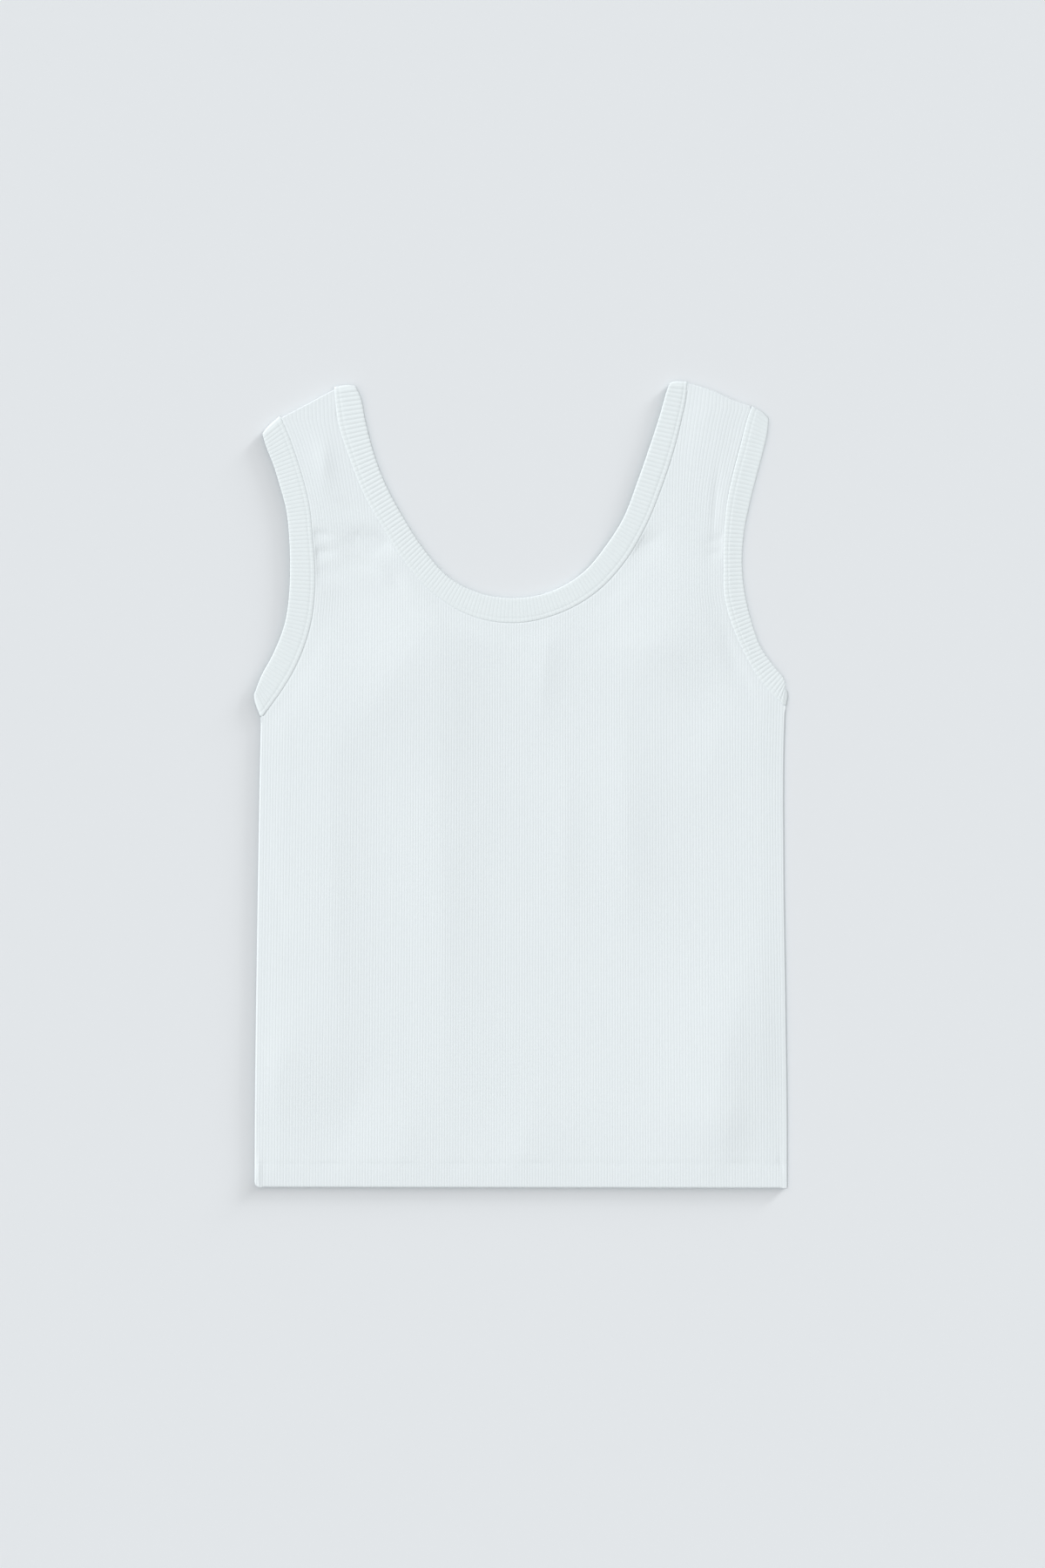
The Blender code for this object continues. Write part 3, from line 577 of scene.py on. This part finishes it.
def edge_share(to_fold):
    """Share of the full thickness left near a folded edge."""
    near = np.clip(to_fold / EDGE_ROUND, 0, 1)
    rim = EDGE_RIM / WALL
    return rim + (1 - rim) * np.sqrt(1 - (1 - near) ** 2)


def pressed(points, to_seam):
    """Depth of the small ditches along the seams and the hem's stitches."""
    x, y = points.T
    depth = SEAM_DITCH * np.interp(y, *zip(*SEAM_TIGHTNESS))
    ditch = depth * np.exp(-(to_seam / DITCH_REACH) ** 2)
    reach = np.where(y > HEM_TOP_Y, STITCH_REACH, HEM_RECOVERY)
    short, long = PULL_LENGTHS
    pull = PULL_MEAN + PULL_SWING * np.sin(x / short) * np.sin(x / long + PULL_START)
    return ditch + STITCH_DITCH * pull * np.exp(-((y - HEM_TOP_Y) / reach) ** 2)


def front_heights(plan, points, rib):
    """Heights of the front panel's inner and outer side."""
    to_fold, to_joined, to_seam, risen = plan.distances(points)
    waves = relief(points, FRONT_WAVES) * ease(to_seam / WAVE_FADE)
    creases = relief(points, FRONT_CREASES) * ease(to_seam / CREASE_FADE)
    inner = FRONT_BASE + np.maximum(FRONT_LIFT + waves + creases, 0.0) * risen
    inner = FOLD_LINE + (inner - FOLD_LINE) * ease(to_joined / EDGE_ROUND) + hem_rise(points[:, 1])
    ribs = RIB_RISE * rib_profile(rib) * ease(to_seam / RIB_CALM_REACH)
    thick = WALL + hem_rise(points[:, 1]) + ribs - pressed(points, to_seam)
    return inner, inner + thick * edge_share(to_fold)


def back_heights(plan, points, rib):
    """Heights of the back panel's inner and outer side; the outer one rests flat."""
    to_fold, to_joined, to_seam, risen = plan.distances(points)
    inner = WALL + hem_rise(points[:, 1])
    grooves = RIB_RISE * (1 - rib_profile(rib) * ease(to_seam / RIB_CALM_REACH))
    troughs = -relief(points, BACK_FOLDS) * risen * ease(to_seam / CREASE_FADE)
    thick = inner - grooves - np.maximum(troughs, 0) - pressed(points, to_seam) / 2
    inner = FOLD_LINE + (inner - FOLD_LINE) * ease(to_joined / EDGE_ROUND)
    return inner, np.maximum(inner - thick * edge_share(to_fold), 0.0)


def cloth_block():
    """Thin closed block of unit size: a cell for each rib and row, ribs cut fine on top."""
    rows = len(row_shares()[0]) - 1
    block = bmesh.new()
    bmesh.ops.create_grid(block, x_segments=BODY_RIBS, y_segments=rows, size=0.5)
    arm_row = rows - STRAP_ROWS
    beyond = [face for face in block.faces
              if is_beyond_armhole(face.calc_center_median(), rows, arm_row)]
    bmesh.ops.delete(block, geom=beyond, context="FACES")
    raised = bmesh.ops.extrude_face_region(block, geom=block.faces[:], use_keep_orig=True)
    for corner in raised["geom"]:
        if isinstance(corner, bmesh.types.BMVert):
            corner.co.z = 1.0
    bmesh.ops.recalc_face_normals(block, faces=block.faces)
    across = [edge for edge in block.edges if runs_across_top(edge)]
    bmesh.ops.subdivide_edges(block, edges=across, cuts=RIB_CUTS, use_grid_fill=True)
    return block, rows


def is_beyond_armhole(centre, rows, arm_row):
    """True for a cell outside the straps, above the row that meets the armholes."""
    rib, row = (centre.x + 0.5) * BODY_RIBS, (centre.y + 0.5) * rows
    return row > arm_row and not LEFT_ARM_RIB < rib < RIGHT_ARM_RIB


def runs_across_top(edge):
    """True for an edge of the upper skin that crosses a rib."""
    first, second = (corner.co for corner in edge.verts)
    on_top = first.z > 0.5 and second.z > 0.5
    level = abs(first.y - second.y) < LEVEL_WITHIN
    return on_top and level and abs(first.x - second.x) > LEVEL_WITHIN


def mesh_points(mesh):
    """A mesh's points as an array."""
    points = np.zeros(len(mesh.vertices) * 3, np.float32)
    mesh.vertices.foreach_get("co", points)
    return points.reshape(-1, 3).astype(float)


def move_points(mesh, points):
    """Move a mesh's points to their places, given in millimetres."""
    mesh.vertices.foreach_set("co", (points * MM).astype(np.float32).ravel())


def knit_map(mesh, ribs, courses):
    """UV map that counts ribs across and rows of stitches along the cloth."""
    layer = mesh.uv_layers.new(name="knit")
    corners = np.zeros(len(mesh.loops), np.int32)
    mesh.loops.foreach_get("vertex_index", corners)
    pairs = np.column_stack((ribs, courses))[corners]
    layer.data.foreach_set("uv", pairs.astype(np.float32).ravel())


def new_piece(name, mesh, material):
    """Object with a smooth mesh, at the origin, with one material."""
    mesh.materials.append(material)
    mesh.shade_smooth()
    piece = bpy.data.objects.new(name, mesh)
    bpy.context.collection.objects.link(piece)
    return piece


def panel(name, plan, heights, material):
    """One ribbed panel of the body: a closed shell, fine ribs on its outer side."""
    block, rows = cloth_block()
    mesh = bpy.data.meshes.new(name)
    block.to_mesh(mesh)
    block.free()
    unit = mesh_points(mesh)
    rib = (unit[:, 0] + 0.5) * BODY_RIBS
    row = np.rint((unit[:, 1] + 0.5) * rows).astype(int)
    rib = np.round(rib * (RIB_CUTS + 1)) / (RIB_CUTS + 1)
    points = plan.places(rib, row)
    inner, outer = heights(plan, points, rib)
    z = np.where(unit[:, 2] > 0.5, outer, inner)
    move_points(mesh, np.column_stack((points, z)))
    if heights is back_heights:
        mesh.flip_normals()
    knit_map(mesh, rib, points[:, 1] / COURSE)
    mesh.update()
    return new_piece(name, mesh, material)


# ---- bands ----
def band_stations(ribs, squeeze):
    """Along a closed band: rib number, share along the front, turn about a fold."""
    fine = RIB_CUTS + 1
    even = np.arange(ribs * fine + 1) / (ribs * fine)
    share = even + squeeze / (2 * math.pi) * np.sin(2 * math.pi * even)
    turn = np.arange(1, FOLD_STATIONS) / FOLD_STATIONS
    flat, bent = np.zeros(len(even)), np.ones(len(turn))
    number = np.concatenate((even * ribs, ribs + turn, ribs + 1 + even * ribs,
                             2 * ribs + 1 + turn, [2 * ribs + 2]))
    shares = np.concatenate((share, bent, share[::-1], 0 * bent, [0.0]))
    turns = np.concatenate((flat, turn, flat + 1, 1 - turn, [0.0])) * math.pi
    return number, shares, turns


def band_section(width):
    """Round one cross-section: share across, height over the middle, share of rib.

    It starts at the seam on the inner side and goes out, over the edge and back.
    """
    top = BAND_MIDDLE
    radius = BAND_EDGE_ROUND
    centre = HALF_GAP + radius
    turns = np.linspace(-math.pi / 2, math.pi / 2, BAND_EDGE_POINTS)
    stitch = BAND_STITCH / width
    inner = [(share, HALF_GAP, 0.0) for share in INNER_SHARES]
    edge = [(1 + (math.cos(a) - 1) * radius / width, centre + math.sin(a) * radius,
             ease(0.5 + math.sin(a) / 2)) for a in turns]
    back = [(share, top, 1.0) for share in BACK_SHARES]
    groove = [(stitch + share, top - drop, ribbed) for share, drop, ribbed in STITCH_GROOVE]
    lip = [(share, top - drop, ribbed) for share, drop, ribbed in SEAM_LIP]
    return np.array(inner + edge + back + groove + lip + inner[:1])


def fold_direction(row, neighbour):
    """Outward direction across a fold line, level with the floor."""
    seam, edge = np.array(row[:2]), np.array(row[2:])
    across = edge - seam
    outward = np.array((-across[1], across[0])) / np.linalg.norm(across)
    inward = (np.array(neighbour[:2]) + np.array(neighbour[2:])) / 2 - (seam + edge) / 2
    return -outward if np.dot(outward, inward) > 0 else outward


def band_places(rows, shares, turns, across, over):
    """Points of a band for arrays of equal shape."""
    sections = smooth_curve(rows, shares)
    seam, edge = sections[:, :2], sections[:, 2:]
    ends = np.where((shares < 0.5)[:, None], fold_direction(rows[0], rows[1]),
                    fold_direction(rows[-1], rows[-2]))
    bow = END_LEAST + (1 - END_LEAST) * np.sin(math.pi * np.clip(across, 0.5, 1)) ** END_SQUARE
    reach = END_REACH * bow * over * np.sin(turns)
    plan = seam + (edge - seam) * across[:, None] + ends * reach[:, None]
    height = np.maximum(BAND_MIDDLE + over * np.cos(turns), 0.0)
    return np.column_stack((plan, height))


def thinned(over, across, turns, pressed_out, thinning):
    """Height over a band's middle, where its front half thins towards the open edge."""
    lost = (pressed_out + thinning * ease(across)) * np.maximum(np.cos(turns), 0.0)
    return HALF_GAP + (over - HALF_GAP) * (1 - lost)


def band(name, rows, ribs, squeeze, form, material):
    """Ribbed binding: a flat closed loop, folded over at both of its ends.

    form holds the last four values of its row in BANDS.
    """
    at_ends, midway, pressed_out, thinning = form
    number, shares, turns = band_stations(ribs, squeeze)
    middle = smooth_curve(rows, 0.5)[0]
    width = float(np.linalg.norm(middle[2:] - middle[:2]))
    section = band_section(width)
    grid = bmesh.new()
    bmesh.ops.create_grid(grid, x_segments=len(number) - 1, y_segments=len(section) - 1, size=0.5)
    mesh = bpy.data.meshes.new(name)
    grid.to_mesh(mesh)
    unit = mesh_points(mesh)
    station = np.rint((unit[:, 0] + 0.5) * (len(number) - 1)).astype(int)
    around = np.rint((unit[:, 1] + 0.5) * (len(section) - 1)).astype(int)
    across, over, ribbed = section[around].T
    crest = rib_profile(number[station])
    sunk = (1 - np.cos(turns[station])) / 2
    rise = at_ends + (midway - at_ends) * np.sin(math.pi * shares[station]) ** MIDWAY_POWER
    over = over + rise * ribbed * (crest - sunk)
    over = thinned(over, across, turns[station], pressed_out, thinning)
    across = across * (1 + BAND_EDGE_RISE / width * crest * (across > SCALLOPED_FROM))
    move_points(mesh, band_places(rows, shares[station], turns[station], across, over))
    knit_map(mesh, number[station], across * width / COURSE)
    grid.free()
    weld(mesh)
    return new_piece(name, mesh, material), width


def weld(mesh):
    """Join a rolled-up grid along the edges where it meets itself."""
    shell = bmesh.new()
    shell.from_mesh(mesh)
    bmesh.ops.remove_doubles(shell, verts=shell.verts, dist=WELD_WITHIN)
    bmesh.ops.recalc_face_normals(shell, faces=shell.faces)
    shell.to_mesh(mesh)
    shell.free()


# ---- sewing ----
def bead():
    """A round bead of unit radius, the shape that every stitch is drawn out from."""
    ball = bmesh.new()
    bmesh.ops.create_uvsphere(ball, u_segments=BEAD_SIDES, v_segments=BEAD_RINGS, radius=1.0,
                              matrix=Matrix.Rotation(math.pi / 2, 4, "Y"))
    mesh = bpy.data.meshes.new("bead")
    ball.to_mesh(mesh)
    ball.free()
    return mesh


def add_stitch(threads, ball, start, end):
    """One stitch: a slim rounded bead from start to end, in millimetres."""
    start, end = Vector(start), Vector(end)
    run = end - start
    place = Matrix.Translation((start + end) / 2 * MM)
    turn = run.to_track_quat("X", "Z").to_matrix().to_4x4()
    size = Matrix.Diagonal((run.length / 2 * MM, THREAD / 2 * MM, THREAD / 2 * MM, 1.0))
    drawn_out = place @ turn @ size
    ball.transform(drawn_out)
    threads.from_mesh(ball)
    ball.transform(drawn_out.inverted())


def stitch_row(threads, ball, line):
    """Stitches along a line of x, y, z points."""
    steps = np.linalg.norm(np.diff(line, axis=0), axis=1)
    reach = np.concatenate(([0.0], np.cumsum(steps)))
    count = int(reach[-1] / (STITCH_LENGTH + STITCH_GAP))
    pitch = reach[-1] / count
    for n in range(count):
        ends = (n * pitch + STITCH_GAP / 2, (n + 1) * pitch - STITCH_GAP / 2)
        start, end = ([float(np.interp(at, reach, line[:, axis])) for axis in range(3)]
                      for at in ends)
        add_stitch(threads, ball, start, end)


def sewing(name, lines, material):
    """One piece that holds the stitches along several lines."""
    threads = bmesh.new()
    ball = bead()
    for line in lines:
        stitch_row(threads, ball, line)
    mesh = bpy.data.meshes.new(name)
    threads.to_mesh(mesh)
    threads.free()
    bpy.data.meshes.remove(ball)
    return new_piece(name, mesh, material)


def band_stitch_lines(rows, width, form):
    """The line of stitches along a band, on the front half and on the back half."""
    shares = np.linspace(*BAND_SEWN, CURVE_SAMPLES)
    across = np.full(CURVE_SAMPLES, BAND_STITCH / width)
    over = np.full(CURVE_SAMPLES, BAND_MIDDLE - BAND_DITCH - THREAD_SINK)
    flat = 0 * shares
    front = band_places(rows, shares, flat, across, thinned(over, across, flat, *form[2:]))
    back = band_places(rows, shares, flat + math.pi, across, over)
    back[:, 2] = np.maximum(back[:, 2], THREAD / 2)
    return [front, back]


def hem_stitch_lines(plan, heights):
    """Two level rows of stitches that hold the turned-up hem."""
    lines = []
    rib = np.linspace(HEM_SEWN_INSET, BODY_RIBS - HEM_SEWN_INSET, 2 * CURVE_SAMPLES)
    by_groove = np.full(len(rib), BY_GROOVE)
    for offset in HEM_SEWN_ROWS:
        y = np.full(len(rib), HEM_TOP_Y + offset)
        points = np.column_stack((plan.rib_x(rib, y), y))
        _, outer = heights(plan, points, by_groove)
        outer = np.maximum(outer - HEM_THREAD_SINK, THREAD / 2)
        lines.append(np.column_stack((points, outer)))
    return lines


# ---- materials ----
class Nodes:
    """Short way to add and join a tree's nodes."""

    def __init__(self, tree):
        self.tree = tree

    def add(self, kind, **settings):
        """A node with its settings."""
        node = self.tree.nodes.new(kind)
        for name, value in settings.items():
            setattr(node, name, value)
        return node

    def join(self, source, target):
        """A link from an output to an input."""
        self.tree.links.new(source, target)

    def math(self, operation, *values):
        """A math node's result, from numbers or outputs."""
        node = self.add("ShaderNodeMath", operation=operation)
        for socket, value in zip(node.inputs, values):
            self.feed(socket, value)
        return node.outputs[0]

    def feed(self, socket, value):
        """Set a socket to a number, or join an output to it."""
        if isinstance(value, bpy.types.NodeSocket):
            self.join(value, socket)
        else:
            socket.default_value = value

    def noise(self, vector, scale, detail):
        """Value of a noise texture."""
        node = self.add("ShaderNodeTexNoise")
        self.join(vector, node.inputs["Vector"])
        node.inputs["Scale"].default_value = scale
        node.inputs["Detail"].default_value = detail
        return node.outputs["Fac"]

    def smooth(self, value, low, high):
        """Smooth step of a value between two limits."""
        node = self.add("ShaderNodeMapRange", interpolation_type="SMOOTHSTEP")
        self.feed(node.inputs["Value"], value)
        node.inputs["From Min"].default_value = low
        node.inputs["From Max"].default_value = high
        return node.outputs["Result"]


def new_group(name, inputs, outputs):
    """Empty shader group with float and vector sockets."""
    group = bpy.data.node_groups.new(name, "ShaderNodeTree")
    kinds = {"float": "NodeSocketFloat", "vector": "NodeSocketVector"}
    for direction, sockets in (("INPUT", inputs), ("OUTPUT", outputs)):
        for label, kind in sockets:
            group.interface.new_socket(name=label, in_out=direction, socket_type=kinds[kind])
    nodes = Nodes(group)
    return group, nodes, nodes.add("NodeGroupInput"), nodes.add("NodeGroupOutput")


def knit_group():
    """Rib knit: rows of slanted loops on each rib, a sunken purl between two ribs, and a mask of
    painted shade in the grooves.
    """
    group, nodes, given, made = new_group(
        "rib_knit", (("Ribs and rows", "vector"),), (("Height", "float"), ("Groove shade", "float")))
    split = nodes.add("ShaderNodeSeparateXYZ")
    nodes.join(given.outputs["Ribs and rows"], split.inputs[0])
    phase = nodes.math("FRACT", split.outputs["X"])
    off_crest = nodes.math("ABSOLUTE", nodes.math("SUBTRACT", phase, 0.5))
    aside = nodes.math("MULTIPLY", off_crest, 2.0)
    slanted = nodes.math("ADD", split.outputs["Y"], nodes.math("MULTIPLY", aside, LOOP_SLANT))
    loop = nodes.math("FRACT", slanted)
    centred = nodes.math("SUBTRACT", nodes.math("MULTIPLY", loop, 2.0), 1.0)
    round_back = nodes.math("SUBTRACT", 1.0, nodes.math("MULTIPLY", centred, centred))
    legs = nodes.smooth(aside, *LEGS)
    on_rib = nodes.smooth(aside, *FLANK)
    height = nodes.math("MULTIPLY", nodes.math("MULTIPLY", round_back, legs), on_rib)
    nodes.join(height, made.inputs["Height"])
    # painted shade: the colour is darkened in the groove between two ribs
    nodes.join(nodes.smooth(aside, *GROOVE_SHADE), made.inputs["Groove shade"])
    return group


def yarn_group():
    """Cotton yarn: soft unevenness from place to place and fine fibres."""
    group, nodes, given, made = new_group(
        "cotton_yarn", (("Place", "vector"),), (("Tone", "float"), ("Fibre", "float")))
    place = given.outputs["Place"]
    broad = nodes.math("MULTIPLY", nodes.noise(place, *BROAD_NOISE), BROAD_SHARE)
    fine = nodes.math("MULTIPLY", nodes.noise(place, *FINE_NOISE), FINE_SHARE)
    nodes.join(nodes.math("ADD", broad, fine), made.inputs["Tone"])
    nodes.join(nodes.noise(place, *FIBRE_NOISE), made.inputs["Fibre"])
    return group


def place_group(nodes, group, socket, source):
    """A group in a material, with its first input joined."""
    node = nodes.add("ShaderNodeGroup", node_tree=group)
    nodes.join(source, node.inputs[socket])
    return node


def new_material(name, finish):
    """A material's nodes and its shader, with the shader's uniform numbers set."""
    material = bpy.data.materials.new(name)
    material.use_nodes = True
    shader = material.node_tree.nodes["Principled BSDF"]
    for socket, value in finish:
        shader.inputs[socket].default_value = value
    return material, Nodes(material.node_tree), shader


def paint(nodes, shader, tones, share):
    """Join a base colour that goes from the light to the dark tone."""
    light, dark = tones
    mix = nodes.add("ShaderNodeMix", data_type="RGBA")
    mix.inputs["A"].default_value = (*light, 1.0)
    mix.inputs["B"].default_value = (*dark, 1.0)
    nodes.join(share, mix.inputs["Factor"])
    nodes.join(mix.outputs["Result"], shader.inputs["Base Color"])


def cotton(name, groups, tones):
    """Matt white cotton knit, with painted shade in its rib grooves."""
    material, nodes, shader = new_material(name, COTTON_FINISH)
    place = nodes.add("ShaderNodeTexCoord").outputs["Object"]
    uv = nodes.add("ShaderNodeUVMap", uv_map="knit").outputs["UV"]
    knit = place_group(nodes, groups["knit"], "Ribs and rows", uv)
    yarn = place_group(nodes, groups["yarn"], "Place", place)
    tone = nodes.smooth(yarn.outputs["Tone"], *UNEVEN_TONES)
    uneven = nodes.math("MULTIPLY", tone, UNEVEN_SHARE)
    # painted shade in the rib grooves, mixed towards the dark tone
    sunk = nodes.math("MULTIPLY", knit.outputs["Groove shade"], GROOVE_SHADE_SHARE)
    paint(nodes, shader, tones, nodes.math("ADD", uneven, sunk))
    fibres = nodes.math("MULTIPLY", yarn.outputs["Fibre"], FIBRE_SHARE)
    bump = nodes.add("ShaderNodeBump")
    bump.inputs["Strength"].default_value = KNIT_BUMP
    bump.inputs["Distance"].default_value = KNIT_DEPTH * MM
    nodes.join(nodes.math("ADD", knit.outputs["Height"], fibres), bump.inputs["Height"])
    nodes.join(bump.outputs["Normal"], shader.inputs["Normal"])
    return material


def thread(groups):
    """White sewing thread, a little smoother than the cloth, its colour a little darker as painted
    shade along the stitch lines.
    """
    material, nodes, shader = new_material("sewing_thread", THREAD_FINISH)
    place = nodes.add("ShaderNodeTexCoord").outputs["Object"]
    yarn = place_group(nodes, groups["yarn"], "Place", place)
    paint(nodes, shader, THREAD_TONES, yarn.outputs["Fibre"])
    return material


# ---- floor, lamps and camera ----
def lamp(row, lit_pieces):
    """A soft distant lamp that shines on the given pieces alone."""
    name, strength, softness, toward = row
    light = bpy.data.lights.new(name, "SUN")
    light.energy = strength
    light.angle = math.radians(softness)
    holder = bpy.data.objects.new(name, light)
    holder.rotation_euler = Vector(toward).to_track_quat("Z", "Y").to_euler()
    bpy.context.collection.objects.link(holder)
    lit = bpy.data.collections.new(name + "_lights")
    for piece in lit_pieces:
        lit.objects.link(piece)
    holder.light_linking.receiver_collection = lit


def pale_floor():
    """Plain pale floor that reaches out of the view on all sides."""
    maker = bmesh.new()
    bmesh.ops.create_grid(maker, x_segments=1, y_segments=1, size=FLOOR_SIZE / 2)
    mesh = bpy.data.meshes.new("floor")
    maker.to_mesh(mesh)
    maker.free()
    floor = bpy.data.objects.new("floor", mesh)
    floor.location.z = -FLOOR_DROP
    bpy.context.collection.objects.link(floor)
    material, _, shader = new_material("pale_floor", FLOOR_FINISH)
    shader.inputs["Base Color"].default_value = (*FLOOR_COLOUR, 1.0)
    mesh.materials.append(material)
    return floor


def room_light():
    """Even white light from all round."""
    world = bpy.context.scene.world or bpy.data.worlds.new("studio")
    bpy.context.scene.world = world
    world.use_nodes = True
    background = world.node_tree.nodes["Background"]
    background.inputs["Color"].default_value = (1.0, 1.0, 1.0, 1.0)
    background.inputs["Strength"].default_value = ROOM_LIGHT


def overhead_camera():
    """The camera straight above the garment, with plain colours."""
    eye = bpy.data.cameras.new("overhead")
    eye.lens, eye.sensor_width = CAMERA_LENS, CAMERA_SENSOR
    camera = bpy.data.objects.new("overhead", eye)
    camera.location = (CAMERA_X, CAMERA_Y, CAMERA_HEIGHT)
    bpy.context.collection.objects.link(camera)
    bpy.context.scene.camera = camera
    bpy.context.scene.view_settings.view_transform = "Standard"


# ---- the whole garment ----
def dress_body(floor, body_cotton, sewing_thread):
    """The back and the front panel, each with its hem's stitches."""
    plan = Plan()
    back = panel("back_cloth", plan, back_heights, body_cotton)
    front = panel("front_cloth", plan, front_heights, body_cotton)
    garment = [back, front]
    for piece, node, heights, under in ((back, "back_panel", back_heights, floor),
                                        (front, "front_panel", front_heights, back)):
        hem = sewing(piece.name + "_hem_stitches", hem_stitch_lines(plan, heights), sewing_thread)
        garment.append(hem)
        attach(piece, "root")
        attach(hem, "root")
        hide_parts(node)
    return garment


def dress_bands(band_cotton, sewing_thread):
    """The three bindings, each with its stitches."""
    garment = []
    for name, node, rows, ribs, squeeze, *form in BANDS:
        binding, width = band(name, rows, ribs, squeeze, form, band_cotton)
        stitches = sewing(name + "_stitches", band_stitch_lines(rows, width, form),
                          sewing_thread)
        length = 2 * line_length(seam_of(rows))
        garment += [binding, stitches]
        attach(binding, "root")
        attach(stitches, "root")
        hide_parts(node)
    return garment


def main():
    """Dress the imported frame, and light and view it."""
    groups = {"knit": knit_group(), "yarn": yarn_group()}
    body_cotton = cotton("body_cotton", groups, BODY_TONES)
    band_cotton = cotton("band_cotton", groups, BAND_TONES)
    sewing_thread = thread(groups)
    floor = pale_floor()
    room_light()
    overhead_camera()
    garment = dress_body(floor, body_cotton, sewing_thread)
    garment += dress_bands(band_cotton, sewing_thread)
    lamp(TOP_LAMP, [floor, *garment])
    lamp(CLOTH_LAMP, garment)
    for row in FLOOR_LAMPS:
        lamp(row, [floor])


main()
